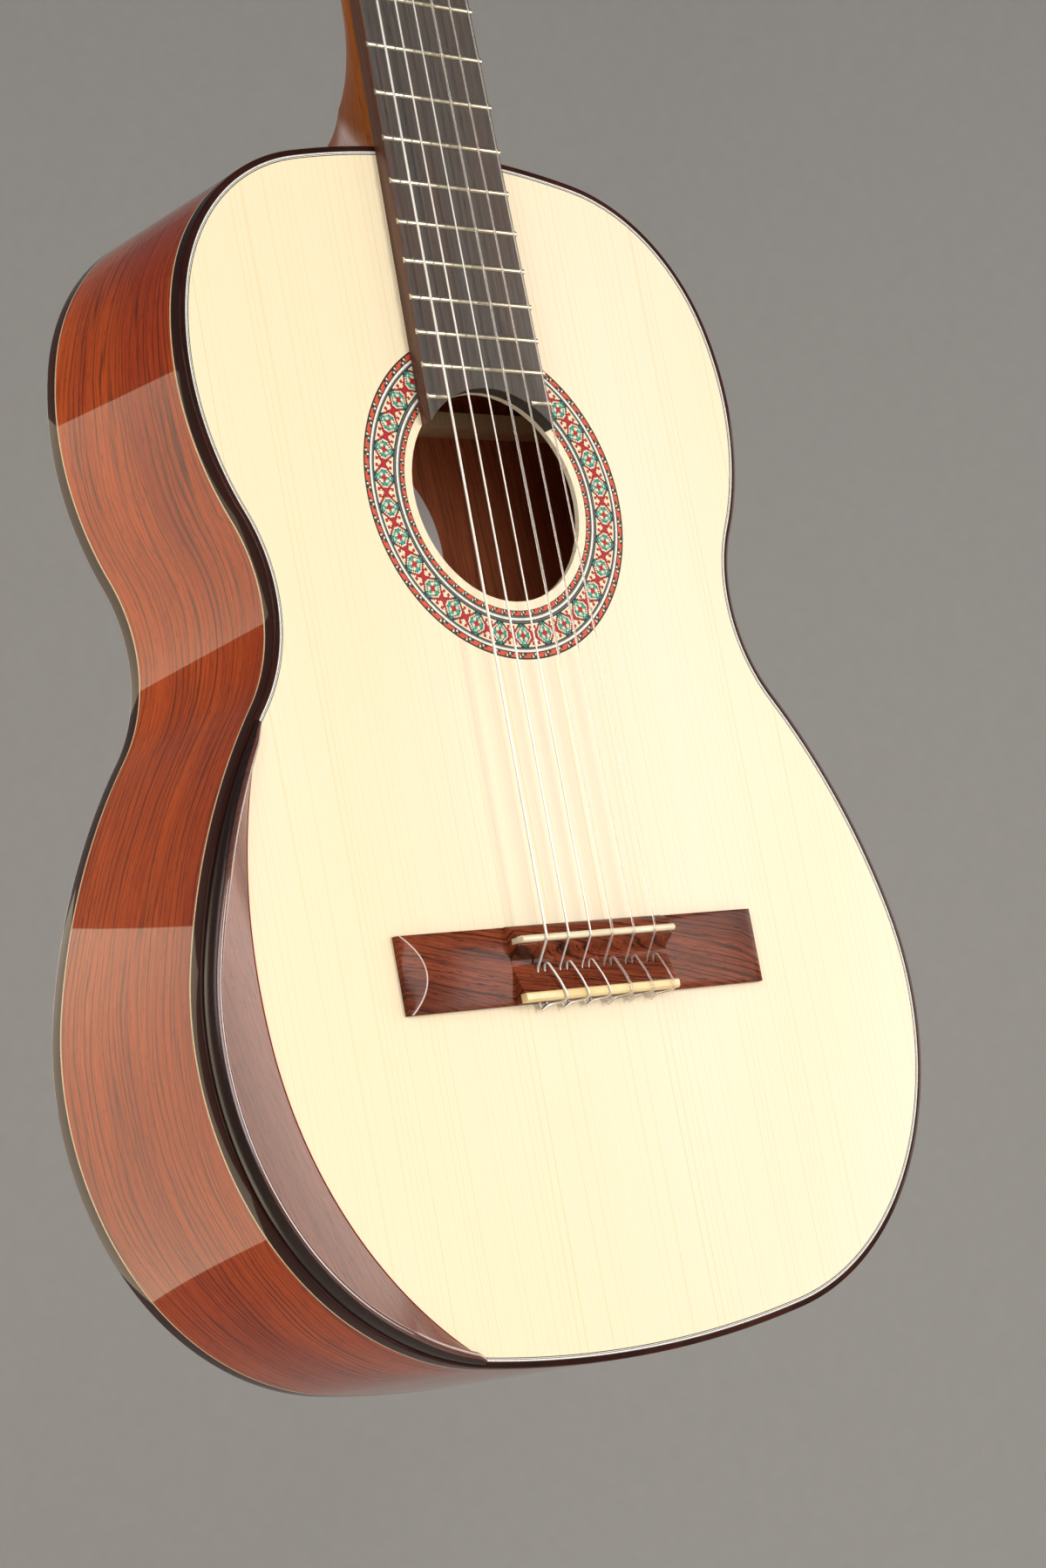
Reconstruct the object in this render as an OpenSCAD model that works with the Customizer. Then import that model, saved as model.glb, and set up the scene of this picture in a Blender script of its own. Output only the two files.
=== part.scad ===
// Classical guitar, right-handed, with six worm-and-gear tuning machines.
// Frame: +Z up along the neck, the soundboard faces -Y, +X is the treble side.
// The soundboard's face and the top of the neck's wood are the plane y = 0.
// The origin is on the centre line at the front edge of the nut.
// Lengths are in millimetres and angles in degrees.

/* [Strings] */
// Sounding length, from the nut to the saddle
scale_length = 650; // [640:5:660]
// Distance between the outer strings at the nut
nut_span = 43; // [41:0.5:44]
// Distance between the outer strings at the saddle
saddle_span = 58.2; // [56:0.5:60]
// Height of the strings' underside above the soundboard plane at the nut
nut_height = 7.9; // [7.6:0.1:8.4]
// Height of the saddle's crown above the soundboard
saddle_height = 12.5; // [11.5:0.1:13.5]

/* [Body] */
// Depth on the centre line where the neck joins
heel_depth = 92; // [88:1:96]
// Depth on the centre line at the tail
tail_depth = 104; // [100:1:108]
// Radius of the arch across the back
back_radius = 5000; // [4000:500:8000]
// Thickness of the soundboard
top_thickness = 2.4; // [2.2:0.1:2.8]
// Thickness of the back plates
back_thickness = 2.6; // [2.4:0.1:3]
// Thickness of the ribs and the width of the bindings
rib_thickness = 2.2; // [2:0.1:2.4]
// Height of the front and back bindings
binding_height = 6; // [5:0.5:7]
// Height of the light line between a binding and the rib
side_line = 0.8; // [0.6:0.1:1]
// Radius of the sound hole
hole_radius = 43.4; // [42:0.2:44]
// Greatest height of the arm rest
armrest_height = 6.8; // [6:0.2:9]

/* [Neck and head] */
// Half width of the neck at the nut
nut_half_width = 26; // [25.5:0.5:26.5]
// Half width of the neck at the twelfth fret
body_half_width = 31; // [30.5:0.5:31.5]
// Thickness of the fingerboard
board_thickness = 6; // [5.6:0.1:6.2]
// Height of a fret's crown above the fingerboard
fret_height = 1.1; // [0.9:0.1:1.2]
// Backward tilt of the head
head_tilt = 15; // [14:1:16]
// Half width of the head
head_half_width = 36; // [35:0.5:37]
// Thickness of the head's wood without its veneer
head_thickness = 18.5; // [18:0.5:20]

/* [Tuning machines] */
// Distance between neighbouring rollers
roller_spacing = 35; // [34:1:36]
// Radius of a roller
roller_radius = 4.93; // [4.9:0.01:4.95]
// Teeth on each gear
gear_teeth = 14; // [14:1:14]
// Length of a button
button_length = 15; // [12:1:18]

/* [Bridge] */
// Half length of the bridge
bridge_half_length = 94; // [90:1:98]
// Width of the bridge along the strings
bridge_width = 30; // [29:0.5:31]
// Half length of the bridge's middle block
block_half_length = 41; // [40:0.5:42]

/* [Hidden] */

// Half of the body's outline, from the middle of the tail round the treble side to the
// neck, as [radius, angle turned]. A negative radius bends the other way, at the waist.
body_arcs = [
  [546, 8.8], [120, 51.4], [131.5, 44.1], [262, 23.3],
  [-67, -65.4], [121.5, 44.1], [85, 62.2], [374, 11.5]
];
outline_step = 6.5;
body_top = -scale_length / 2;
body_length = path_end([0, 0], 0, body_arcs, 0)[1];
tail = body_top - body_length;

purfling_width = 1.7;
purfling_depth = 1.5;
lining_width = 6;
lining_height = 14;
hole_z = body_top - 146.65;
rosette_inner = 47.1;
rosette_outer = 67.2;
rosette_depth = 1.2;
tenon_half_width = 9;
foot_half_width = 31;
foot_length = 26;
label_z = hole_z + 5;
label_radius = 49;
tail_block_half_width = 35;
tail_block_length = 16;
graft_front_half = 10;
graft_back_half = 6;
centre_strip_half = 4;
cap_thickness = 3;
cap_half_width = 11;
cap_reach = 20;

taper = (body_half_width - nut_half_width) / (scale_length / 2);
fret_count = 19;
split_fret = 19;
tang_width = 0.55;
tang_depth = 1.6;
crown_width = 2.4;
nut_thickness = 5;
nut_fall = 2.6;
nut_break = 2;
veneer = 2;

saddle_z = -scale_length - 1.5;
saddle_back = 6.2;
saddle_half = 1.3;
saddle_bed = 5.5;
bridge_front = saddle_z + saddle_back;
bridge_rear = bridge_front - bridge_width;
wing_height = 4;
wing_edge_height = 2.6;
bevel_reach = 10.5;
bevel_start = 1.5;
bone_width = 3.6;
bone_top = 9;
bone_bottom = 5.4;
tie_hole_radius = 0.9;
tie_hole_pitch = 3.6;
tie_front = 17;
tie_front_height = 4.7;
tie_rear_height = 2.3;

// String diameters, first string first
gauges = [0.71, 0.82, 1.02, 0.74, 0.89, 1.09];

first_roller = 38;
roller_level = -8.5;
worm_offset = 8.95;
gear_plane = 41.3;
plate_thickness = 1.3;
plate_face = head_half_width + plate_thickness;
plate_half_width = 6.25;
plate_start = 19;
plate_end = first_roller + 2 * roller_spacing + 19;
slot_inner = 7.5;
slot_outer = 23;
slot_start = 17;
slot_end = first_roller + 2 * roller_spacing + 16;
gear_pitch_radius = 5.95;
worm_pitch = 2 * PI * gear_pitch_radius / gear_teeth;
worm_radius = 3.7;
worm_root = 2.1;
worm_turns = 2.5;
thread_tip = 0.28;
thread_root = 0.62;
thread_steps = 20;
shaft_radius = 1.55;
bore_gap = 0.05;
lug_thickness = 2;
shaft_head = 0.6;

wood_red = "#8a3b1e";
rosewood = "#3b1d16";
spruce = "#f1dfb4";
cedar = "#b9793f";
ebony = "#2d2a2b";
bone = "#efe6cf";
metal = "#c9b37a";

// Points of a path that is drawn as [radius, angle turned] arcs. A radius of 0 is a straight
// stretch, whose length then stands in the angle's place.
function arc_count(r, a) = max(2, ceil(abs(r * a * 0.01745) / outline_step));
function path_step(p, h, arc, k) =
  arc[0] == 0 ? p + arc[1] * k * [cos(h), sin(h)]
  : p + arc[0] * [sin(h + arc[1] * k) - sin(h), cos(h) - cos(h + arc[1] * k)];
function path_end(p, h, arcs, i) =
  i == len(arcs) ? p
  : path_end(path_step(p, h, arcs[i], 1), arcs[i][0] == 0 ? h : h + arcs[i][1], arcs, i + 1);
function path_points(p, h, arcs, i = 0) =
  i == len(arcs) ? []
  : let (n = arcs[i][0] == 0 ? 1 : arc_count(arcs[i][0], arcs[i][1]))
    concat(
      [for (k = [1:n]) path_step(p, h, arcs[i], k / n)],
      path_points(path_step(p, h, arcs[i], 1), arcs[i][0] == 0 ? h : h + arcs[i][1], arcs, i + 1)
    );

function inset_arcs(inset) = [for (arc = body_arcs) [arc[0] - inset, arc[1]]];
function half_outline(inset) =
  concat([[0, tail + inset]], path_points([0, tail + inset], 0, inset_arcs(inset)));
function flip(points) = [for (i = [len(points) - 1:-1:0]) [-points[i][0], points[i][1]]];

// Faces of a sweep whose rings hold n points each: a cap, the sides as triangles, and a cap
function ring_faces(rings, n) = concat(
  [[for (i = [n - 1:-1:0]) i]],
  [for (r = [0:rings - 2], i = [0:n - 1])
    [r * n + i, r * n + (i + 1) % n, (r + 1) * n + (i + 1) % n]],
  [for (r = [0:rings - 2], i = [0:n - 1])
    [r * n + i, (r + 1) * n + (i + 1) % n, (r + 1) * n + i]],
  [[for (i = [0:n - 1]) (rings - 1) * n + i]]
);
function joined(lists) = [for (l = lists, p = l) p];

// An outline drawn as x and z, made solid from depth y0 to depth y1
module slab(y0, y1) {
  translate([0, y1, 0]) rotate([90, 0, 0]) linear_extrude(y1 - y0) children();
}

module outline(inset) {
  half = half_outline(inset);
  polygon(concat(half, flip(half)));
}

module outline_ring(outer, inner) {
  difference() {
    outline(outer);
    outline(inner);
  }
}

module side_of(sign) {
  translate([sign > 0 ? 0 : -300, tail - 50]) square([300, body_length + 100]);
}

// Everything in front of the arched back, less a margin
module back_form(inset) {
  slope = atan((tail_depth - heel_depth) / body_length);
  translate([0, heel_depth, body_top]) rotate([slope, 0, 0]) translate([0, -back_radius, 0])
    cylinder(r = back_radius - inset, h = 3 * body_length, center = true, $fn = 1440);
}

module back_layer(outer, inner) {
  difference() {
    intersection() {
      slab(60, tail_depth + 5) children();
      back_form(outer);
    }
    back_form(inner);
  }
}

module soundboard() {
  color(spruce) difference() {
    union() {
      slab(0, purfling_depth) outline(rib_thickness + purfling_width);
      slab(purfling_depth, top_thickness) outline(rib_thickness);
    }
    hole_column();
    rosette_ring();
  }
}

module rosette_ring() {
  translate([0, rosette_depth, hole_z]) rotate([90, 0, 0]) difference() {
    cylinder(r = rosette_outer, h = rosette_depth, $fn = 180);
    translate([0, 0, -1]) cylinder(r = rosette_inner, h = rosette_depth + 2, $fn = 180);
  }
}

module rosette() {
  color("#b05a48") rosette_ring();
}

module back_half(sign) {
  back_layer(0, back_thickness) difference() {
    intersection() {
      outline(rib_thickness);
      side_of(sign);
    }
    translate([-centre_strip_half, tail - 10]) square([2 * centre_strip_half, body_length + 20]);
  }
}

module back_bass() {
  color(wood_red) back_half(-1);
}

module back_treble() {
  color(wood_red) back_half(1);
}

module back_centre_strip() {
  color(spruce) back_layer(0, back_thickness) intersection() {
    outline(rib_thickness);
    translate([-centre_strip_half, tail - 10]) square([2 * centre_strip_half, body_length + 20]);
  }
}

// The tapered strip let into the ribs at the tail, drawn as x and y
module graft_wedge() {
  translate([0, 0, tail - 5]) linear_extrude(12)
    polygon([
      [-graft_front_half, 0], [graft_front_half, 0],
      [graft_back_half, tail_depth + 5], [-graft_back_half, tail_depth + 5]
    ]);
}

module rib_band() {
  intersection() {
    slab(binding_height + side_line, tail_depth + 5) outline_ring(0, rib_thickness);
    back_form(binding_height + side_line);
  }
}

module rib(sign) {
  difference() {
    intersection() {
      rib_band();
      translate([sign > 0 ? 0 : -300, 0, tail - 20]) cube([300, 150, body_length + 40]);
    }
    graft_wedge();
    translate([-tenon_half_width, 0, body_top - 20]) cube([2 * tenon_half_width, 150, 40]);
  }
}

module rib_bass() {
  color(wood_red) rib(-1);
}

module rib_treble() {
  color(wood_red) rib(1);
}

module end_graft() {
  color(rosewood) intersection() {
    rib_band();
    graft_wedge();
  }
}

module binding_front() {
  color(rosewood) slab(0, binding_height) outline_ring(0, rib_thickness);
}

module binding_back() {
  color(rosewood) back_layer(0, binding_height) outline_ring(0, rib_thickness);
}

// The inlaid lines: round the soundboard's edge and between each binding and the ribs
module purfling() {
  color(bone) {
    slab(0, purfling_depth) outline_ring(rib_thickness, rib_thickness + purfling_width);
    slab(binding_height, binding_height + side_line) outline_ring(0, rib_thickness);
    back_layer(binding_height, binding_height + side_line) outline_ring(0, rib_thickness);
  }
}

module block_room() {
  translate([-tail_block_half_width, -1, tail]) cube([2 * tail_block_half_width, 120, 30]);
  translate([-foot_half_width, -1, body_top - 60]) cube([2 * foot_half_width, 120, 61]);
}

module linings() {
  color(cedar) difference() {
    union() {
      slab(top_thickness, top_thickness + lining_height)
        outline_ring(rib_thickness, rib_thickness + lining_width);
      back_layer(back_thickness, back_thickness + lining_height)
        outline_ring(rib_thickness, rib_thickness + lining_width);
    }
    block_room();
  }
}

module tail_block() {
  color(cedar) intersection() {
    slab(top_thickness, tail_depth) outline(rib_thickness);
    back_form(back_thickness);
    translate([-tail_block_half_width, 0, tail]) cube([
      2 * tail_block_half_width, 120, tail_block_length + rib_thickness
    ]);
  }
}

// A strut on the soundboard's inner face, from one x and z to another, with a peaked top
module strut(from, to, width, height) {
  run = to - from;
  translate([from[0], top_thickness, from[1]]) rotate([0, 90 - atan2(run[1], run[0]), 0])
    linear_extrude(norm(run))
      polygon([
        [-width / 2, 0], [width / 2, 0], [width / 2, height * 0.6], [0, height],
        [-width / 2, height * 0.6]
      ]);
}

module cross_bar(z, width, height) {
  intersection() {
    slab(top_thickness, top_thickness + height) outline(rib_thickness + lining_width);
    translate([-200, 0, z - width / 2]) cube([400, 50, width]);
  }
}

upper_bar_z = hole_z + 78;
lower_bar_z = hole_z - 60;
bar_width = 6;
bar_height = 15;
fan_start = lower_bar_z - 4;
fan_end = tail + 62;
fan_splay = [0, 16, 36, 60];
fan_spread = [0, 34, 68, 102];
fan_shorter = [0, 2, 12, 34];
module soundboard_braces() {
  color(spruce) {
    cross_bar(upper_bar_z, bar_width, bar_height);
    cross_bar(lower_bar_z, bar_width, bar_height);
    strut([0, fan_start], [0, fan_end], 4, 4.5);
    for (i = [1:3], s = [-1, 1])
      strut([s * fan_splay[i], fan_start], [s * fan_spread[i], fan_end + fan_shorter[i]], 4, 4.5);
    for (s = [-1, 1])
      strut([s * 12, tail + 40], [s * 100, tail + 72], 4, 4.5);
  }
}

back_bar_z = [body_top - 86, body_top - 198, body_top - 285, body_top - 372];
module back_braces() {
  color(cedar) {
    for (z = back_bar_z)
      intersection() {
        back_layer(back_thickness, back_thickness + 13) outline(rib_thickness + lining_width);
        translate([-200, 0, z - 3.5]) cube([400, 150, 7]);
      }
  }
}

module label() {
  color("#f4efe2") intersection() {
    back_layer(back_thickness, back_thickness + 0.3) outline(rib_thickness + lining_width);
    translate([0, 150, label_z]) rotate([90, 0, 0]) cylinder(r = label_radius, h = 120, $fn = 180);
  }
}

// The neck's section is a U between the glue line and the back of the neck
neck_steps = 14;
heel_length = 63;
shaft_end = body_top + heel_length;
shaft_rings = 9;
head_blend_rings = 5;
heel_rings = 14;
heel_reach = heel_depth - cap_thickness;
function neck_half_width(z) = nut_half_width - taper * z;
function blend(z, reach) = pow(max(0, 1 + z / reach), 2);
function neck_depth(z) = 15 - 2 * z / 262 + (head_thickness / cos(head_tilt) - 15) * blend(z, 35);
function neck_square(z) = 2.2 + 5 * blend(z, 30);
function u_ring(base, back, half, square) = [
  for (i = [0:neck_steps])
    let (
      t = 180 * i / neck_steps,
      c = cos(t),
      x = half * sign(c) * pow(abs(c), 2 / square),
      s = pow(max(sin(t), 0), 2 / square)
    )
    [x, base[0] + (back[0] - base[0]) * s, base[1] + (back[1] - base[1]) * s]
];
function shaft_ring(k) =
  let (
    near = 7 * head_blend_rings,
    z = k <= head_blend_rings ? -7 * k
      : -near + (shaft_end + near) * (k - head_blend_rings) / (shaft_rings - head_blend_rings)
  )
  u_ring([0, z], [neck_depth(z), z], neck_half_width(z), neck_square(z));
function heel_ring(u) =
  let (
    shaft_z = shaft_end - 2 * heel_length * u,
    base = u < 0.5 ? [0, shaft_z] : [heel_reach * (2 * u - 1), body_top - 5],
    shaft_back = neck_depth(shaft_end),
    back = [
      shaft_back + (heel_reach - shaft_back) * (1 - cos(90 * u)),
      shaft_end - (heel_length - cap_reach) * sin(90 * u)
    ],
    v = max(0, 2 * u - 1),
    half = u < 0.5 ? neck_half_width(shaft_z)
      : cap_half_width + (body_half_width - cap_half_width) * pow(1 - v, 2.2)
  )
  u_ring(base, back, half, 2.2);

module neck_loft() {
  rings = concat(
    [for (k = [0:shaft_rings]) shaft_ring(k)],
    [for (k = [1:heel_rings]) heel_ring(k / heel_rings)]
  );
  polyhedron(joined(rings), ring_faces(len(rings), neck_steps + 1), convexity = 6);
}

module neck() {
  color(cedar) union() {
    difference() {
      neck_loft();
      slab(-1, tail_depth + 5) outline(0);
    }
    intersection() {
      slab(binding_height + side_line, tail_depth) outline(0);
      back_form(binding_height + side_line);
      translate([-tenon_half_width, 0, body_top - 20]) cube([2 * tenon_half_width, 110, 25]);
    }
    intersection() {
      slab(top_thickness, tail_depth) outline(rib_thickness);
      back_form(back_thickness);
      translate([-foot_half_width, 0, body_top - foot_length]) cube([
        2 * foot_half_width, 120, foot_length
      ]);
    }
  }
}

module heel_cap() {
  section = [for (p = heel_ring(1)) [p[0], p[2]]];
  color(rosewood) difference() {
    slab(heel_reach, heel_depth) polygon(section);
    slab(-1, tail_depth + 5) outline(0);
  }
}

// The head's own frame: x across, y up the head, z out of its face
module on_head() {
  rotate([90 - head_tilt, 0, 0]) children();
}
function head_point(x, w, n) = [
  x, w * sin(head_tilt) - n * cos(head_tilt), w * cos(head_tilt) + n * sin(head_tilt)
];

shoulder_turn = acos(1 - (head_half_width - nut_half_width) / 16);
ear_radius = 10;
hollow_radius = 14;
crown_radius = (head_half_width + ear_radius * (sin(150) - 1)
  + hollow_radius * (sin(150) - sin(105))) / sin(105);
head_side = 132;
head_arcs = [
  [0, 5], [-8, -shoulder_turn], [8, shoulder_turn], [0, head_side],
  [ear_radius, 60], [-hollow_radius, -45], [crown_radius, 75]
];
module head_plan() {
  half = concat([[nut_half_width, -2]], path_points([nut_half_width, -2], 90, head_arcs));
  polygon(concat(half, flip(half)));
}

module slot_plan(sign) {
  centre = sign * (slot_inner + slot_outer) / 2;
  half = (slot_outer - slot_inner) / 2;
  translate([centre, slot_start + half]) circle(r = half, $fn = 48);
  translate([centre, slot_end - half]) circle(r = half, $fn = 48);
  translate([centre - half, slot_start + half]) square([2 * half, slot_end - slot_start - 2 * half]);
}

// A string slot goes right through the head
module string_slot(sign) {
  translate([0, 0, -head_thickness - 5]) linear_extrude(head_thickness + 10) slot_plan(sign);
}

module head_side_bores(sign) {
  for (k = [0:2])
    translate([sign * 3.5, first_roller + k * roller_spacing, roller_level]) rotate([0, sign * 90, 0])
      cylinder(r = roller_radius + bore_gap, h = 60, $fn = 64);
  for (w = screw_places)
    translate([sign * (head_half_width - 10), w, roller_level]) rotate([0, sign * 90, 0])
      cylinder(r = 1, h = 20, $fn = 24);
}

module headstock() {
  color(cedar) intersection() {
    on_head() difference() {
      translate([0, 0, -head_thickness]) linear_extrude(head_thickness) head_plan();
      string_slot(-1);
      string_slot(1);
      head_side_bores(-1);
      head_side_bores(1);
    }
    translate([-100, -100, 0]) cube([200, 200, 300]);
  }
}

module head_veneer() {
  color(rosewood) intersection() {
    on_head() difference() {
      linear_extrude(veneer) head_plan();
      string_slot(-1);
      string_slot(1);
    }
    translate([-100, -100, nut_thickness]) cube([200, 200, 300]);
  }
}

function fret_z(n) = -scale_length * (1 - pow(2, -n / 12));

module fret_profile() {
  intersection() {
    translate([0, fret_height - 1.35]) circle(r = 1.35, $fn = 48);
    translate([-crown_width / 2, 0]) square([crown_width, 3]);
  }
  translate([-tang_width / 2, -tang_depth]) square([tang_width, tang_depth + 0.2]);
}

// A bar across the fingerboard at fret n, from its profile of length and height
module across_board(n, clearance) {
  half = neck_half_width(fret_z(n)) + clearance;
  translate([-half, -board_thickness, fret_z(n)]) rotate([0, 90, 0])
    linear_extrude(2 * half) mirror([0, 1]) children();
}

module hole_column() {
  translate([0, 20, hole_z]) rotate([90, 0, 0]) cylinder(r = hole_radius, h = 60, $fn = 180);
}

module fingerboard() {
  color(ebony) difference() {
    slab(-board_thickness, 0)
      polygon([
        [-nut_half_width, 0], [nut_half_width, 0],
        [neck_half_width(hole_z + 25), hole_z + 25], [-neck_half_width(hole_z + 25), hole_z + 25]
      ]);
    hole_column();
    for (n = [1:fret_count])
      across_board(n, 2) translate([-tang_width / 2, -tang_depth]) square([tang_width, tang_depth + 2]);
  }
}

module frets() {
  color("#cfc7ae") {
    for (n = [1:split_fret - 1])
      across_board(n, 0) fret_profile();
    difference() {
      across_board(split_fret, 0) fret_profile();
      hole_column();
    }
  }
}

function string_x(n, span) = span / 2 - span * (n - 1) / 5;
function gauge_radius(n) = gauges[n - 1] / 2;
function string_top(n) = [string_x(n, nut_span), -nut_height - gauge_radius(n), 0];
function string_foot(n) = [string_x(n, saddle_span), -saddle_height - gauge_radius(n), saddle_z];

module nut() {
  rear = nut_thickness;
  drop = rear * tan(head_tilt);
  top = nut_height + 0.5;
  color(bone) difference() {
    translate([-nut_half_width, 0, 0]) rotate([0, 90, 0]) linear_extrude(2 * nut_half_width)
      polygon([
        [0, 0], [-rear, drop], [-rear, nut_fall - nut_height], [-1.5, -top], [0, -top]
      ]);
    for (n = [1:6])
      translate([string_top(n)[0], -nut_height - gauge_radius(n), -1])
        cylinder(r = gauge_radius(n) + bore_gap, h = rear + 2, $fn = 24);
    for (n = [1:6])
      translate([string_top(n)[0] - gauge_radius(n) - bore_gap, -nut_height - 4, -1])
        cube([gauges[n - 1] + 2 * bore_gap, 4 - gauge_radius(n), rear + 2]);
  }
}

// The bridge is drawn from its front edge: distance back from it and height
function bridge_place(back, height) = [-(bridge_front - back), -height];

module bridge_block() {
  translate([-block_half_length, 0, 0]) rotate([0, 90, 0]) linear_extrude(2 * block_half_length)
    difference() {
      polygon([
        bridge_place(0, 0), bridge_place(0, 4.2), bridge_place(0.8, 6.6), bridge_place(2.4, 8.4),
        bridge_place(4.4, 9.3), bridge_place(8.2, 9.3), bridge_place(9.4, 8.6),
        bridge_place(10.8, 6.4), bridge_place(12.6, 4.6), bridge_place(14.6, 4),
        bridge_place(16, 4.2), bridge_place(bridge_width - bone_width, 8.4),
        bridge_place(bridge_width - bone_width, bone_bottom),
        bridge_place(bridge_width, bone_bottom), bridge_place(bridge_width, 0)
      ]);
      translate(bridge_place(saddle_back - saddle_half, 20)) square([2 * saddle_half, 20 - saddle_bed]);
    }
}

module bridge_wing(sign) {
  crown = (pow(bridge_width / 2, 2) + pow(wing_height - wing_edge_height, 2))
    / (2 * (wing_height - wing_edge_height));
  slope = (wing_height - wing_edge_height) / (bevel_reach - bevel_start);
  low_end = wing_edge_height - bevel_start * slope;
  reach = bridge_half_length - block_half_length + 1;
  intersection() {
    translate([sign > 0 ? block_half_length - 1 : -bridge_half_length, -10, bridge_rear])
      cube([reach, 10, bridge_width]);
    translate([0, crown - wing_height, bridge_front - bridge_width / 2]) rotate([0, 90, 0])
      cylinder(r = crown, h = 300, center = true, $fn = 360);
    translate([sign * bridge_half_length, -low_end, bridge_front]) rotate([0, 0, sign * atan(slope)])
      translate([-150, 0, -100]) cube([300, 30, 200]);
  }
}

module tie_hole(x) {
  run = bridge_width - tie_front;
  fall = atan((tie_front_height - tie_rear_height) / run);
  translate([x, -tie_front_height, bridge_front - tie_front]) rotate([180 + fall, 0, 0])
    translate([0, 0, -2.5]) cylinder(r = tie_hole_radius, h = run + 10, $fn = 32);
}

module bridge() {
  color(rosewood) difference() {
    union() {
      bridge_block();
      bridge_wing(-1);
      bridge_wing(1);
    }
    for (n = [1:6], k = [0:1])
      tie_hole(string_x(n, saddle_span) + k * tie_hole_pitch);
  }
}

module saddle() {
  color(bone) translate([-block_half_length + 0.5, 0, 0]) rotate([0, 90, 0])
    linear_extrude(2 * block_half_length - 1) {
      translate(bridge_place(saddle_back - saddle_half, saddle_height - saddle_half))
        square([2 * saddle_half, saddle_height - saddle_half - saddle_bed]);
      translate(bridge_place(saddle_back, saddle_height - saddle_half))
        circle(r = saddle_half, $fn = 48);
    }
}

module tie_block_bone() {
  color(bone) translate([-block_half_length + 0.3, 0, 0]) rotate([0, 90, 0])
    linear_extrude(2 * block_half_length - 0.6)
      polygon([
        bridge_place(bridge_width - bone_width, bone_bottom),
        bridge_place(bridge_width - bone_width, bone_top - 0.5),
        bridge_place(bridge_width - bone_width + 0.5, bone_top),
        bridge_place(bridge_width - 0.8, bone_top), bridge_place(bridge_width, bone_top - 0.8),
        bridge_place(bridge_width, bone_bottom)
      ]);
}

// The arm rest lies between the body's outline and its own inner edge on the bass side
rest_top = [-138.5, body_top - 237.5];
rest_heading = 245.7;
rest_arcs = [[231, 30.7], [169, 48.9]];
rest_edge = 1;
rest_steps = 34;
rest_low = 0.8;
function rest_inner(t) =
  let (
    turned = t * (rest_arcs[0][1] + rest_arcs[1][1]),
    first = min(turned, rest_arcs[0][1]),
    bend = path_step(rest_top, rest_heading, [rest_arcs[0][0], first], 1)
  )
  path_step(bend, rest_heading + first, [rest_arcs[1][0], turned - first], 1);
// Where the line from the inner edge square to it meets the outline, inset a little
function outline_near(p, points) =
  let (d = [for (q = points) norm(q - p)], least = min(d))
  [for (i = [0:len(d) - 1]) if (d[i] == least) i][0];
function on_segment(p, a, b) =
  let (ab = b - a, k = max(0, min(1, (p - a) * ab / (ab * ab)))) a + k * ab;
function nearest_on(p, points) =
  let (
    i = outline_near(p, points),
    a = on_segment(p, points[max(i - 1, 0)], points[i]),
    b = on_segment(p, points[i], points[min(i + 1, len(points) - 1)])
  )
  norm(a - p) < norm(b - p) ? a : b;
rest_outer_points = [for (p = half_outline(rest_edge)) [-p[0], p[1]]];

// Distance of the ridge from the outline, and the width at which the rest is full height
rest_ridge = 3.2;
rest_full_width = 16;
function rest_ring(t) =
  let (
    inner = rest_inner(t),
    outer = nearest_on(inner, rest_outer_points),
    width = norm(inner - outer),
    across = (inner - outer) / width,
    tall = rest_low + (armrest_height - rest_low) * pow(min(1, width / rest_full_width), 0.8),
    ridge = min(rest_ridge, 0.9 * width),
    shape = concat(
      [[0, 0]],
      [for (a = [0:22.5:90]) [ridge * (1 - cos(a)), tall * (0.3 + 0.7 * sin(a))]],
      [[width, rest_low], [width, 0]]
    )
  )
  [for (q = shape) [outer[0] + across[0] * q[0], -q[1], outer[1] + across[1] * q[0]]];

module armrest() {
  rings = [for (k = [0:rest_steps]) rest_ring(k / rest_steps)];
  color(rosewood) polyhedron(joined(rings), ring_faces(len(rings), 8), convexity = 6);
}

// Rings of a round cord along its points
cord_sides = 8;
function cord_frame(points, i) =
  let (
    a = points[max(i - 1, 0)],
    b = points[min(i + 1, len(points) - 1)],
    t = (b - a) / norm(b - a),
    u = cross(t, [1, 1, 0.4]),
    v = cross(u, t)
  )
  [u / norm(u), v / norm(v)];
function cord_ring(points, i, r) =
  let (f = cord_frame(points, i))
  [for (k = [0:cord_sides - 1])
    points[i] + r * (cos(360 * k / cord_sides) * f[0] + sin(360 * k / cord_sides) * f[1])];
module cord(points, r) {
  rings = [for (i = [0:len(points) - 1]) cord_ring(points, i, r)];
  polyhedron(joined(rings), ring_faces(len(rings), cord_sides), convexity = 6);
}

// Each string starts at the top of its roller, crosses the nut and the saddle, goes through its
// first tie hole, back through the second and over the block, and ends tucked behind it
winding_x = [20, 16, 12, -12, -16, -20];
function machine(n) = n < 4 ? n - 1 : 6 - n;
function roller_w(n) = first_roller + roller_spacing * machine(n);
function machine_side(n) = n < 4 ? 1 : -1;
function roller_start(n) =
  let (
    reach = roller_radius + gauge_radius(n) + 0.08,
    rise = nut_height + gauge_radius(n),
    nut_w = nut_break * cos(head_tilt) - rise * sin(head_tilt),
    nut_n = rise * cos(head_tilt) + nut_break * sin(head_tilt),
    dw = nut_w - roller_w(n),
    dn = nut_n - roller_level,
    turn = atan2(dn, dw) - acos(reach / norm([dw, dn]))
  )
  head_point(winding_x[n - 1], roller_w(n) + reach * cos(turn), roller_level + reach * sin(turn));
function at_bridge(x, back, height) = [x, -height, bridge_front - back];
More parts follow.
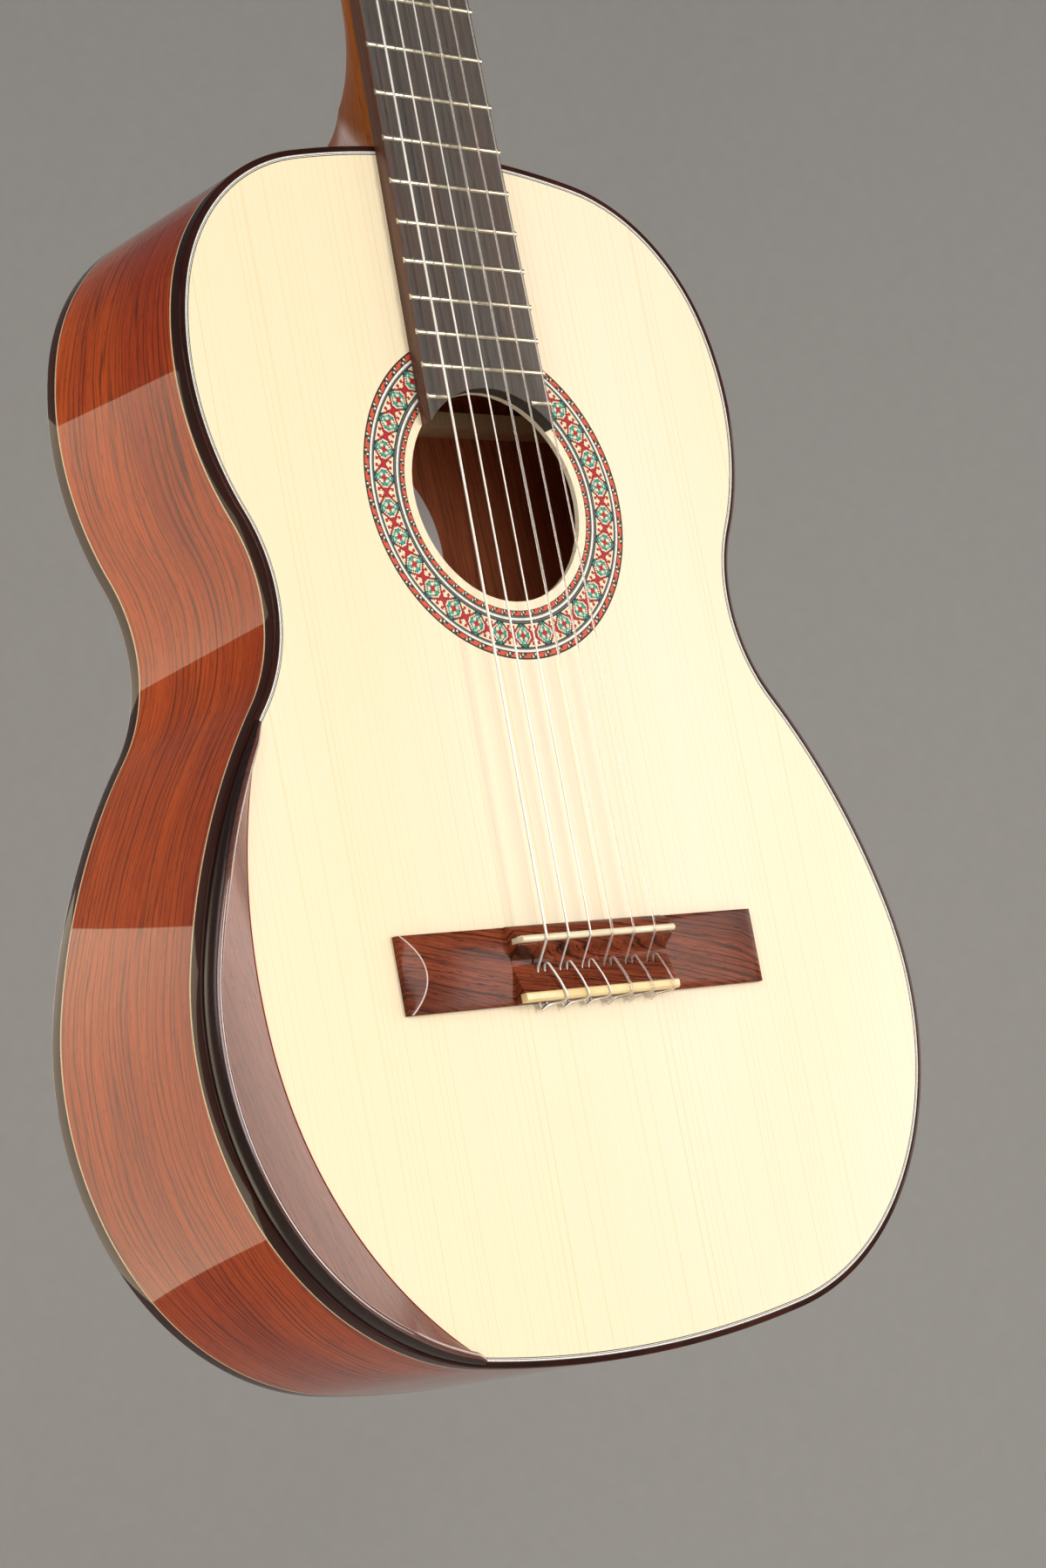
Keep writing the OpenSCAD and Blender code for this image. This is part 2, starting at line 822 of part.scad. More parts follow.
function string_path(n) =
  let (
    r = gauge_radius(n),
    xn = string_x(n, nut_span),
    x = string_x(n, saddle_span),
    x2 = x + tie_hole_pitch,
    behind = bridge_width + r + 0.25
  )
  [
    roller_start(n),
    [xn, -nut_height - r - 0.02, nut_break],
    [xn, -nut_height - r - 0.02, 0],
    at_bridge(x, saddle_back - 0.4, saddle_height + r + 0.02),
    at_bridge(x, saddle_back + 0.7, saddle_height + r - 0.1),
    at_bridge(x, tie_front - 0.4, tie_front_height + 0.45),
    at_bridge(x, tie_front + 0.8, tie_front_height - 0.1),
    at_bridge(x, bridge_width, tie_rear_height),
    at_bridge(x + 0.25, bridge_width + 1.1, tie_rear_height - 0.2),
    at_bridge(x + 1.1, bridge_width + 1.9, tie_rear_height - 0.3),
    at_bridge(x2 - 1.1, bridge_width + 1.9, tie_rear_height - 0.3),
    at_bridge(x2 - 0.25, bridge_width + 1.1, tie_rear_height - 0.2),
    at_bridge(x2, bridge_width, tie_rear_height),
    at_bridge(x2, tie_front + 0.8, tie_front_height - 0.1),
    at_bridge(x2, tie_front - 1, tie_front_height + 0.4),
    at_bridge(x2 + 0.1, tie_front - 1.8, tie_front_height + 1.2),
    at_bridge(x2 + 0.4, tie_front - 1.3, tie_front_height + 2.3),
    at_bridge(x2 + 1.2, tie_front + 1.6, tie_front_height + 3.3),
    at_bridge(x2 + 2.6, tie_front + 5.5, tie_front_height + 4.3),
    at_bridge(x2 + 4, bridge_width - 2.8, bone_top + r + 0.25),
    at_bridge(x2 + 4.5, bridge_width - 0.4, bone_top + r + 0.1),
    at_bridge(x2 + 4.5, behind, bone_top - 0.7),
    at_bridge(x2 + 3.7, behind + 0.1, bone_top - 3.2),
    at_bridge(x2 + 1.6, behind + 0.2, bone_top - 4.8),
    at_bridge(x2 - 1, behind + 0.5, bone_top - 5.1),
    at_bridge(x2 - 3.4, behind + 2.4, bone_top - 6.4)
  ];

module string(n) {
  color(n < 4 ? "#f3efe2" : "#cfcfcf") cord(string_path(n), gauge_radius(n));
}

module at_machine(n) {
  on_head() translate([0, roller_w(n), roller_level]) children();
}
// Turns a shape that stands along z so that it points outwards from the head's side
module outwards(n) {
  rotate([0, machine_side(n) * 90, 0]) children();
}

screw_places = [24.5, 58.5, 93.5, 123.6];
screw_radius = 1;
gear_shaft_radius = 2.5;
lug_reach = 2.6;
lug_inner = 4.2;
button_start = -13.5;
button_radius = 8.2;
button_flat = 4.7;

module plate_plan() {
  length = plate_end - plate_start;
  translate([plate_start + plate_half_width, 0]) circle(r = plate_half_width, $fn = 64);
  translate([plate_end - plate_half_width, 0]) circle(r = plate_half_width, $fn = 64);
  translate([plate_start + plate_half_width, -plate_half_width])
    square([length - 2 * plate_half_width, 2 * plate_half_width]);
}

// The plate lies on the head's side: its length runs up the head
module plate(side) {
  on_head() difference() {
    union() {
      translate([side > 0 ? head_half_width : -plate_face, 0, roller_level])
        rotate([90, 0, 90]) linear_extrude(plate_thickness) plate_plan();
      for (k = [0:2], s = [-1, 1])
        translate([side * plate_face, first_roller + k * roller_spacing + worm_offset,
          roller_level + s * (lug_inner + lug_thickness / 2)])
          lug(side);
    }
    for (k = [0:2]) {
      translate([0, first_roller + k * roller_spacing, roller_level]) rotate([0, side * 90, 0])
        cylinder(r = gear_shaft_radius + bore_gap, h = 60, $fn = 48);
      translate([side * gear_plane, first_roller + k * roller_spacing + worm_offset, roller_level])
        cylinder(r = shaft_radius + bore_gap, h = 30, center = true, $fn = 48);
    }
    for (w = screw_places)
      translate([0, w, roller_level]) rotate([0, side * 90, 0]) cylinder(r = 1.1, h = 60, $fn = 32);
  }
}

module lug(side) {
  rise = gear_plane - plate_face;
  translate([side > 0 ? -0.3 : -rise, -lug_reach, -lug_thickness / 2])
    cube([rise + 0.3, 2 * lug_reach, lug_thickness]);
  translate([side * rise, 0, 0]) cylinder(r = lug_reach, h = lug_thickness, center = true, $fn = 48);
}

module plate_bass() {
  color(metal) plate(-1);
}

module plate_treble() {
  color(metal) plate(1);
}

module plate_screws() {
  color(metal) on_head()
    for (side = [-1, 1], w = screw_places)
      translate([0, w, roller_level]) rotate([0, side * 90, 0]) difference() {
        union() {
          translate([0, 0, head_half_width - 9]) cylinder(r = screw_radius, h = 10.5, $fn = 32);
          translate([0, 0, plate_face]) cylinder(r = 1.9, h = 0.9, $fn = 48);
        }
        translate([-0.2, -3, plate_face + 0.5]) cube([0.4, 6, 2]);
      }
}

// The screw thread of a worm: a trapezium swept round the shaft
module worm_thread() {
  inner = worm_root - 0.4;
  lean = (thread_root - thread_tip) / (worm_radius - worm_root);
  deep = thread_root + 0.4 * lean;
  steps = worm_turns * thread_steps;
  rings = [
    for (k = [0:steps])
      let (
        a = 270 + 360 * (k / thread_steps - worm_turns / 2),
        z = worm_pitch * (k / thread_steps - worm_turns / 2),
        out = [cos(a), sin(a), 0]
      )
      [
        inner * out + [0, 0, z - deep], worm_radius * out + [0, 0, z - thread_tip],
        worm_radius * out + [0, 0, z + thread_tip], inner * out + [0, 0, z + deep]
      ]
  ];
  polyhedron(joined(rings), ring_faces(len(rings), 4), convexity = 8);
}

module worm(n) {
  color(metal) at_machine(n) translate([machine_side(n) * gear_plane, worm_offset, 0]) union() {
    worm_thread();
    translate([0, 0, -lug_inner + 0.05]) cylinder(r = worm_root, h = 2 * lug_inner - 0.1, $fn = 48);
    translate([0, 0, button_start - 9])
      cylinder(r = shaft_radius, h = 9 - button_start + lug_inner + lug_thickness + 0.1, $fn = 48);
    translate([0, 0, lug_inner + lug_thickness + 0.1]) cylinder(r = 2.2, h = shaft_head, $fn = 48);
  }
}

module button(n) {
  neck_length = 3;
  ball = (button_length - neck_length) / 2;
  color(bone) at_machine(n) translate([machine_side(n) * gear_plane, worm_offset, 0]) difference() {
    union() {
      translate([0, 0, button_start - neck_length - 1])
        cylinder(r = 3.2, h = neck_length + 1, $fn = 64);
      intersection() {
        translate([0, 0, button_start - neck_length - ball]) sphere(r = button_radius, $fn = 96);
        translate([-button_flat, -10, button_start - button_length])
          cube([2 * button_flat, 20, 2 * ball]);
      }
    }
    translate([0, 0, button_start - 9]) cylinder(r = shaft_radius, h = 20, $fn = 48);
  }
}

gear_tip = gear_pitch_radius + 0.75;
gear_root = gear_pitch_radius - 0.95;
gear_inner = gear_plane - 1.5;
gear_outer = gear_plane + 1.5;
module gear_plan() {
  circle(r = gear_root, $fn = 96);
  for (i = [0:gear_teeth - 1])
    rotate(90 + (i + 0.5) * 360 / gear_teeth)
      polygon([
        [gear_root - 0.5, -0.68], [gear_tip, -0.32], [gear_tip, 0.32], [gear_root - 0.5, 0.68]
      ]);
}

module gear(n) {
  color(metal) at_machine(n) outwards(n) {
    difference() {
      union() {
        translate([0, 0, gear_inner]) linear_extrude(gear_outer - gear_inner) gear_plan();
        translate([0, 0, plate_face + 0.1]) cylinder(r = 4.2, h = gear_inner - plate_face, $fn = 64);
      }
      translate([0, 0, plate_face]) cylinder(r = gear_shaft_radius, h = 20, $fn = 48);
    }
    difference() {
      union() {
        translate([0, 0, gear_outer]) cylinder(r = 3.3, h = 1.2, $fn = 64);
        translate([0, 0, gear_outer - 4]) cylinder(r = 1.1, h = 4.5, $fn = 32);
      }
      translate([-0.3, -4, gear_outer + 0.7]) cube([0.6, 8, 2]);
    }
  }
}

module roller(n) {
  inner = slot_inner - 3.6;
  color(bone) at_machine(n) outwards(n) difference() {
    union() {
      translate([0, 0, inner])
        cylinder(r = roller_radius, h = head_half_width - 0.1 - inner, $fn = 96);
      translate([0, 0, 30]) cylinder(r = gear_shaft_radius, h = gear_outer - 30, $fn = 48);
    }
    translate([0, 0, gear_outer - 4]) cylinder(r = 1.1, h = 5, $fn = 32);
    translate([0, 0, abs(winding_x[n - 1])]) rotate([0, 90, 0])
      cylinder(r = 0.8, h = 20, center = true, $fn = 24);
  }
}

soundboard();
rosette();
back_bass();
back_treble();
back_centre_strip();
rib_bass();
rib_treble();
binding_front();
binding_back();
purfling();
linings();
tail_block();
end_graft();
soundboard_braces();
back_braces();
label();
neck();
heel_cap();
headstock();
head_veneer();
fingerboard();
frets();
nut();
bridge();
saddle();
tie_block_bone();
armrest();
string(1);  // string_1
string(2);  // string_2
string(3);  // string_3
string(4);  // string_4
string(5);  // string_5
string(6);  // string_6
plate_bass();
plate_treble();
plate_screws();
worm(1);  // worm_1
worm(2);  // worm_2
worm(3);  // worm_3
worm(4);  // worm_4
worm(5);  // worm_5
worm(6);  // worm_6
button(1);  // button_1
button(2);  // button_2
button(3);  // button_3
button(4);  // button_4
button(5);  // button_5
button(6);  // button_6
gear(1);  // gear_1
gear(2);  // gear_2
gear(3);  // gear_3
gear(4);  // gear_4
gear(5);  // gear_5
gear(6);  // gear_6
roller(1);  // roller_1
roller(2);  // roller_2
roller(3);  // roller_3
roller(4);  // roller_4
roller(5);  // roller_5
roller(6);  // roller_6
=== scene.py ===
"""Looks for a classical guitar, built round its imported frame.

Axes: +Z runs up the neck, the soundboard faces -Y, +X is the treble side. The shape code works in
millimetres, and new_mesh() and tube() turn them into metres.
"""
import math
from contextlib import contextmanager

import bmesh
import bpy
import numpy as np
from mathutils import Matrix, Vector


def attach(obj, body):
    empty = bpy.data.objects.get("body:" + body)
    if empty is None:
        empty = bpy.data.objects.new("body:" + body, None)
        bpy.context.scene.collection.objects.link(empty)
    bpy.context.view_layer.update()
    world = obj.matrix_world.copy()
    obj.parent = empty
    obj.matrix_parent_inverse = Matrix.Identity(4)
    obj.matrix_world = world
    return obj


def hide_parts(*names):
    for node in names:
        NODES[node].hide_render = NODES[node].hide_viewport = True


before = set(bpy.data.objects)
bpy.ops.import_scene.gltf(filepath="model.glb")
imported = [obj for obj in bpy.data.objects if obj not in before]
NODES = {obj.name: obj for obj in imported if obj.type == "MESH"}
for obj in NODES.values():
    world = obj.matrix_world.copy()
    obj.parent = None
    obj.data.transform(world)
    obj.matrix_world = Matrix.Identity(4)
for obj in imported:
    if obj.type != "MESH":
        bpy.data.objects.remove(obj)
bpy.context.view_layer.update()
MM = 0.001

# ---------------------------------------------------------------- measures, in mm, as in the frame
SCALE = 650.0
BODY_TOP = -325.0
HEEL_DEPTH, TAIL_DEPTH, BACK_RADIUS = 92.0, 104.0, 5000.0
BODY_ARCS = [(546, 8.8), (120, 51.4), (131.5, 44.1), (262, 23.3),
             (-67, -65.4), (121.5, 44.1), (85, 62.2), (374, 11.5)]
RIB, PURFLING, BINDING, SIDE_LINE = 2.2, 1.7, 6.0, 0.8
BACK_PLATE = 2.6
HOLE_Z = BODY_TOP - 146.65
HOLE_RADIUS = 43.4
BOARD = 6.0
NUT_HALF, BODY_HALF = 26.0, 31.0
TAPER = (BODY_HALF - NUT_HALF) / (SCALE / 2)
HEAD_TILT = math.radians(15)
HEAD_THICK, HEAD_BLEND = 18.5, 35.0
HEEL_LENGTH = 63.0
SHAFT_DEPTH, SHAFT_GROWTH, SHAFT_LENGTH = 15.0, 2.0, -BODY_TOP - HEEL_LENGTH
NUT_HEIGHT, SADDLE_HEIGHT = 7.9, 12.5
NUT_SPAN, SADDLE_SPAN = 43.0, 58.2
GAUGES = [0.71, 0.82, 1.02, 0.74, 0.89, 1.09]
SADDLE_Z = -SCALE - 1.5
BRIDGE_FRONT = SADDLE_Z + 6.2
BRIDGE_WIDTH = 30.0
ROLLER_LEVEL, ROLLER_RADIUS = -8.5, 4.93
WINDING_X = [20, 16, 12, -12, -16, -20]
GEAR_PLANE, WORM_OFFSET = 41.3, 8.95


def walk(p, heading, arc, share):
    """The point a share of the way along an arc that starts at p in that heading."""
    r, a = arc
    h0, h1 = math.radians(heading), math.radians(heading + a * share)
    return (p[0] + r * (math.sin(h1) - math.sin(h0)), p[1] + r * (math.cos(h0) - math.cos(h1)))


def body_length():
    p, heading = (0.0, 0.0), 0.0
    for arc in BODY_ARCS:
        p = walk(p, heading, arc, 1)
        heading += arc[1]
    return p[1]


BODY_LENGTH = body_length()
TAIL = BODY_TOP - BODY_LENGTH
BACK_SLOPE = (TAIL_DEPTH - HEEL_DEPTH) / BODY_LENGTH


def half_outline(step):
    """Stations (x, z, outward x, outward z) on the treble half, from the tail to the neck."""
    out, p, h = [], (0.0, TAIL), 0.0
    for r, a in BODY_ARCS:
        n = max(3, math.ceil(abs(math.radians(a) * r) / step))
        first = 0 if not out else 1
        for k in range(first, n + 1):
            q = walk(p, h, (r, a), k / n)
            t = math.radians(h + a * k / n)
            out.append((q[0], q[1], math.sin(t), -math.cos(t)))
        p = walk(p, h, (r, a), 1)
        h += a
    return out


def full_outline(step):
    """The same stations all the way round."""
    half = half_outline(step)
    return half + [(-x, z, -nx, nz) for x, z, nx, nz in reversed(half[1:-1])]


def back_y(x, z, inset=0.0):
    """How deep the arched back lies, or a surface that far inside it."""
    drop = -BACK_RADIUS + math.sqrt((BACK_RADIUS - inset) ** 2 - x * x)
    return HEEL_DEPTH + drop * math.hypot(1, BACK_SLOPE) - BACK_SLOPE * (z - BODY_TOP)


def head_point(x, w, n):
    """A point of the tilted head: w runs up its face from the nut, n stands out from it."""
    s, c = math.sin(HEAD_TILT), math.cos(HEAD_TILT)
    return (x, w * s - n * c, w * c + n * s)


def fret_z(n):
    return -SCALE * (1 - 2 ** (-n / 12))


def neck_half(z):
    return NUT_HALF - TAPER * z


# ---------------------------------------------------------------- small helpers
def add_object(name, data):
    obj = bpy.data.objects.new(name, data)
    bpy.context.scene.collection.objects.link(obj)
    return obj


@contextmanager
def editing(mesh):
    bm = bmesh.new()
    bm.from_mesh(mesh)
    yield bm
    bm.to_mesh(mesh)
    bm.free()


def new_mesh(name, verts, faces):
    """A mesh from points in mm."""
    mesh = bpy.data.meshes.new(name)
    mesh.from_pydata([[c * MM for c in v] for v in verts], [], faces)
    return mesh


def apply_modifiers(obj):
    """Puts what the modifiers make in place of the object's mesh."""
    graph = bpy.context.evaluated_depsgraph_get()
    final = bpy.data.meshes.new_from_object(obj.evaluated_get(graph))
    obj.modifiers.clear()
    obj.data = final
    final.shade_smooth()
    final.set_sharp_from_angle(angle=math.radians(50))


# ---------------------------------------------------------------- camera, stage and light
def add_camera():
    cam = bpy.data.cameras.new("camera")
    cam.sensor_width = 36
    cam.lens = 75.41
    cam.clip_start, cam.clip_end = 0.05, 30
    obj = add_object("camera", cam)
    forward = Vector((0.67021435, 0.72536502, 0.15702968)).normalized()
    up = Vector((0.02919279, -0.23718446, 0.97102591))
    side = forward.cross(up).normalized()
    up = side.cross(forward)
    rot = Matrix((side, up, -forward)).transposed().to_4x4()
    obj.matrix_world = Matrix.Translation((-0.87267, -0.92863, -0.79004)) @ rot
    bpy.context.scene.camera = obj


def add_stage():
    """A pale floor that curves up into a pale wall all round, far enough off to stay soft."""
    floor_z, radius, wall, curve, turns = -2100, 4200, 5000, 1600, 72
    profile = [(0, 0), (radius - curve, 0)]
    profile += [(radius - curve + curve * math.sin(a), curve - curve * math.cos(a))
                for a in np.radians(np.linspace(9, 90, 10))]
    profile.append((radius, wall))
    verts, faces = [], []
    for r, h in profile:
        for k in range(turns):
            a = 2 * math.pi * k / turns
            verts.append((r * math.cos(a), r * math.sin(a), floor_z + h))
    for i in range(len(profile) - 1):
        for k in range(turns):
            k2 = (k + 1) % turns
            faces.append((i * turns + k, i * turns + k2, (i + 1) * turns + k2, (i + 1) * turns + k))
    mesh = new_mesh("stage_floor", verts, faces)
    with editing(mesh) as bm:
        bmesh.ops.remove_doubles(bm, verts=bm.verts, dist=1e-5)
    mesh.shade_smooth()
    obj = add_object("stage_floor", mesh)
    obj.data.materials.append(plain("stage_grey", (0.66, 0.65, 0.63), 0.9))


def soft_panel(name, centre, facing, width, height, radiance, colour):
    """A rectangular panel of even brightness, upright, that faces a given way."""
    lamp = bpy.data.lights.new(name, "AREA")
    lamp.energy = radiance * math.pi * width * height
    lamp.color = colour
    lamp.shape, lamp.size, lamp.size_y = "RECTANGLE", width, height
    obj = add_object(name, lamp)
    obj.location = centre
    obj.rotation_euler = Vector(facing).to_track_quat("-Z", "Y").to_euler()


def add_lights():
    soft_panel("key", (-1.0, -2.6, -0.35), (1.0, 2.6, -0.2), 1.6, 1.9, 3.1, (0.97, 0.96, 0.96))
    soft_panel("fill", (0.75, -2.1, -0.75), (-0.75, 2.1, 0.2), 0.7, 1.4, 8.2, (1, 0.95, 0.89))
    soft_panel("side", (-0.85, 1.3, -0.73), (0, -1, 0), 0.9, 1.66, 3.4, (1, 0.86, 0.62))
    soft_panel("left", (-2.2, -1.1, 0.55), (2.2, 1.1, -1.1), 0.9, 1.7, 4.0, (1, 0.95, 0.9))
    soft_panel("right", (2.7, -1.0, -0.35), (-1, 0.35, -0.1), 1.5, 1.25, 4.4, (1, 0.88, 0.78))
    soft_panel("behind", (0.2, 3.2, 0.2), (-0.2, -3.2, -0.75), 1.3, 1.3, 4.6, (1, 0.97, 0.93))
    world = bpy.data.worlds.new("world")
    world.use_nodes = True
    back = world.node_tree.nodes["Background"]
    back.inputs[0].default_value = (0.9, 0.93, 1, 1)
    back.inputs[1].default_value = 0.16
    bpy.context.scene.world = world
    bpy.context.scene.view_settings.view_transform = "Standard"


# ---------------------------------------------------------------- materials
class Shade:
    """A procedural material in the making, with short names for the nodes it needs."""

    def __init__(self, name):
        self.mat = bpy.data.materials.new(name)
        self.mat.use_nodes = True
        self.tree = self.mat.node_tree
        self.bsdf = self.tree.nodes["Principled BSDF"]
        self.where = self.tree.nodes.new("ShaderNodeTexCoord").outputs["Object"]

    def node(self, kind, inputs, **settings):
        n = self.tree.nodes.new("ShaderNode" + kind)
        for key, value in settings.items():
            setattr(n, key, value)
        for key, value in inputs.items():
            self.put(n.inputs[key], value)
        return n

    def put(self, socket, value):
        if isinstance(value, bpy.types.NodeSocket):
            self.tree.links.new(value, socket)
        elif isinstance(value, (tuple, list)) and len(value) == 3 and socket.type == "RGBA":
            socket.default_value = (*value, 1)
        else:
            socket.default_value = value

    def stretch(self, scale, source=None):
        return self.node("Mapping", {"Vector": source or self.where, "Scale": scale}).outputs[0]

    def noise(self, vector, scale=1.0, detail=3.0, rough=0.5, distort=0.0):
        return self.node("TexNoise", {"Vector": vector, "Scale": scale, "Detail": detail,
                                      "Roughness": rough, "Distortion": distort}).outputs["Fac"]

    def math(self, op, a, b=0.0):
        return self.node("Math", {0: a, 1: b}, operation=op).outputs[0]

    def range(self, value, low, high, to_low=0.0, to_high=1.0):
        return self.node("MapRange", {"Value": value, "From Min": low, "From Max": high,
                                      "To Min": to_low, "To Max": to_high}).outputs[0]

    def ramp(self, value, stops):
        n = self.node("ValToRGB", {"Fac": value})
        while len(n.color_ramp.elements) < len(stops):
            n.color_ramp.elements.new(0.5)
        for e, (at, colour) in zip(n.color_ramp.elements, stops):
            e.position = at
            e.color = (*colour, 1)
        return n.outputs[0]

    def mix(self, factor, a, b):
        n = self.tree.nodes.new("ShaderNodeMix")
        n.data_type = "RGBA"
        for index, value in ((0, factor), (6, a), (7, b)):
            self.put(n.inputs[index], value)
        return n.outputs[2]

    def bump(self, height, strength, distance):
        n = self.node("Bump", {"Height": height, "Strength": strength, "Distance": distance})
        self.tree.links.new(n.outputs[0], self.bsdf.inputs["Normal"])

    def finish(self, colour, roughness, **others):
        self.put(self.bsdf.inputs["Base Color"], colour)
        self.put(self.bsdf.inputs["Roughness"], roughness)
        for key, value in others.items():
            self.put(self.bsdf.inputs[key.replace("_", " ")], value)
        return self.mat


def srgb(r, g, b):
    """A colour given as 0-255 display values."""
    return tuple(((c / 255) / 12.92) if c <= 10 else (((c / 255) + 0.055) / 1.055) ** 2.4
                 for c in (r, g, b))


def plain(name, colour, rough):
    s = Shade(name)
    cloud = s.noise(s.where, 40, 2)
    shade = tuple(c * 0.93 for c in colour)
    return s.finish(s.mix(cloud, colour, shade), rough)


def figured(name, light, mid, dark, across, spacing=3.4, streak=0.8, fibre=0.35, rough=0.4,
            coat=1.0, coat_rough=0.02, pore=0.6, sway=0.006, mirror=False, coat_ior=1.5):
    """Wood with thin wavy dark lines, fine fibres and short pores. across is the way square to the
    grain, and spacing the millimetres between lines; mirror matches one half to the other."""
    s = Shade(name)
    base = s.where
    if mirror:
        parts = s.node("SeparateXYZ", {0: base}).outputs
        base = s.node("CombineXYZ", {0: s.math("ABSOLUTE", parts[0]), 1: parts[1],
                                     2: parts[2]}).outputs[0]
    level = s.node("VectorMath", {0: base, 1: across}, operation="DOT_PRODUCT").outputs["Value"]
    wide = s.noise(s.stretch((6, 6, 6), base), 1, 2)
    ripple = s.noise(s.stretch((42, 42, 42), base), 1, 2)
    level = s.math("ADD", level, s.range(wide, 0, 1, -sway, sway))
    level = s.math("ADD", level, s.range(ripple, 0, 1, -0.0011, 0.0011))

    def grain(fast, slow):
        spread = s.node("VectorMath", {0: across, "Scale": s.math("MULTIPLY", level, fast)},
                        operation="SCALE").outputs[0]
        return s.node("VectorMath", {0: spread, 1: s.stretch((slow, slow, slow), base)},
                      operation="ADD").outputs[0]

    def lines(gap, width, warp):
        loose = s.noise(grain(300 / gap, 7), 1, 2)
        phase = s.math("ADD", s.math("MULTIPLY", level, 1000 / gap),
                       s.math("MULTIPLY", loose, warp))
        from_line = s.math("PINGPONG", phase, 0.5)
        return s.range(from_line, 0, width, 1, 0)

    broad = s.noise(grain(26, 5), 1, 3)
    fibres = s.noise(grain(1500, 42), 1, 3, 0.6)
    fade = s.range(s.noise(grain(230, 11), 1, 2), 0.34, 0.54)
    fade_fine = s.range(s.noise(grain(500, 30), 1, 1), 0.4, 0.62)
    colour = s.mix(s.range(broad, 0.36, 0.64), light, mid)
    colour = s.mix(s.range(fibres, 0.36, 0.68, 0, fibre), colour, dark)
    bold = s.math("MULTIPLY", lines(spacing, 0.22, 4.2), fade)
    thin = s.math("MULTIPLY", lines(spacing * 0.41, 0.2, 3.1), fade_fine)
    colour = s.mix(s.math("MULTIPLY", thin, streak * 0.6), colour, dark)
    colour = s.mix(s.math("MULTIPLY", bold, streak), colour, dark)
    height = fibres
    if pore:
        holes = s.range(s.noise(grain(2700, 170), 1, 1), 0.62, 0.69)
        colour = s.mix(s.math("MULTIPLY", holes, pore), colour, tuple(c * 0.4 for c in dark))
        height = s.math("SUBTRACT", fibres, holes)
    s.bump(height, 0.12 if coat > 0.5 else 0.3, 0.00012)
    roughness = s.range(fibres, 0.3, 0.7, rough - 0.05, rough + 0.07)
    extra = {"Coat_Weight": coat, "Coat_Roughness": coat_rough, "Coat_IOR": coat_ior,
             "Specular_IOR_Level": 0.02} if coat else {}
    return s.finish(colour, roughness, **extra)


def spruce_face(name, light, mid, line):
    """A soundboard: narrow straight rings that mirror about the seam, with faint silk across."""
    s = Shade(name)
    parts = s.node("SeparateXYZ", {0: s.where}).outputs
    off = s.math("ABSOLUTE", parts[0])
    wander = s.noise(s.stretch((2.5, 2.5, 1.2)), 1, 2)
    off = s.math("ADD", off, s.range(wander, 0, 1, -0.005, 0.005))

    def rings(gap, width, loose, seed):
        at = s.node("CombineXYZ", {0: s.math("MULTIPLY", off, 330 / gap), 1: seed,
                                   2: s.math("MULTIPLY", parts[2], 0.8)}).outputs[0]
        phase = s.math("ADD", s.math("MULTIPLY", off, 1000 / gap),
                       s.math("MULTIPLY", s.noise(at, 1, 2), loose))
        return s.range(s.math("PINGPONG", phase, 0.5), 0, width, 1, 0)

    fade_at = s.node("CombineXYZ", {0: s.math("MULTIPLY", off, 90), 1: 2.0,
                                    2: s.math("MULTIPLY", parts[2], 1.5)}).outputs[0]
    fade = s.range(s.noise(fade_at, 1, 2), 0.4, 0.62, 0.1, 1)
    tone = s.noise(s.stretch((4, 4, 2)), 1, 2)
    silk = s.noise(s.stretch((70, 70, 1100)), 1, 2)
    fine = rings(1.25, 0.3, 1.6, 3.7)
    strong = rings(3.7, 0.1, 3.4, 9.1)
    colour = s.mix(s.range(tone, 0.35, 0.65), light, mid)
    colour = s.mix(s.math("MULTIPLY", fine, 0.22), colour, line)
    colour = s.mix(s.math("MULTIPLY", s.math("MULTIPLY", strong, fade), 0.5), colour, line)
    colour = s.mix(s.range(silk, 0.45, 0.75, 0, 0.15), colour, light)
    s.bump(fine, 0.05, 0.0001)
    return s.finish(colour, s.range(fine, 0, 1, 0.4, 0.46), Coat_Weight=0.3, Coat_Roughness=0.14)


def metal(name, colour, rough, scratch=0.08):
    s = Shade(name)
    brushed = s.noise(s.stretch((300, 300, 2400)), 1, 2)
    spots = s.noise(s.where, 90, 3)
    shade = s.mix(s.range(spots, 0.35, 0.7), colour, tuple(c * 0.82 for c in colour))
    s.bump(brushed, scratch, 0.00005)
    return s.finish(shade, s.range(spots, 0.3, 0.7, rough - 0.04, rough + 0.08), Metallic=1.0)


def ivory(name, colour, dark, rough=0.32, sub=0.12):
    s = Shade(name)
    cloud = s.noise(s.stretch((60, 160, 160)), 1, 3)
    pores = s.noise(s.stretch((500, 1800, 1800)), 1, 1)
    shade = s.mix(s.range(cloud, 0.35, 0.7), colour, dark)
    shade = s.mix(s.range(pores, 0.62, 0.72, 0, 0.35), shade, tuple(c * 0.7 for c in dark))
    return s.finish(shade, rough, Subsurface_Weight=sub,
                    Subsurface_Radius=(0.002, 0.0015, 0.001), Coat_Weight=0.3,
                    Coat_Roughness=0.15)


def pearl(name):
    s = Shade(name)
    swirl = s.noise(s.where, 210, 2, 0.5, 2.2)
    shade = s.ramp(swirl, [(0.3, srgb(205, 196, 178)), (0.48, srgb(246, 240, 226)),
                           (0.6, srgb(222, 214, 196)), (0.72, srgb(250, 246, 236))])
    return s.finish(shade, s.range(swirl, 0.3, 0.7, 0.16, 0.3), Subsurface_Weight=0.1,
                    Subsurface_Radius=(0.002, 0.002, 0.0015), Coat_Weight=0.6, Coat_Roughness=0.05)


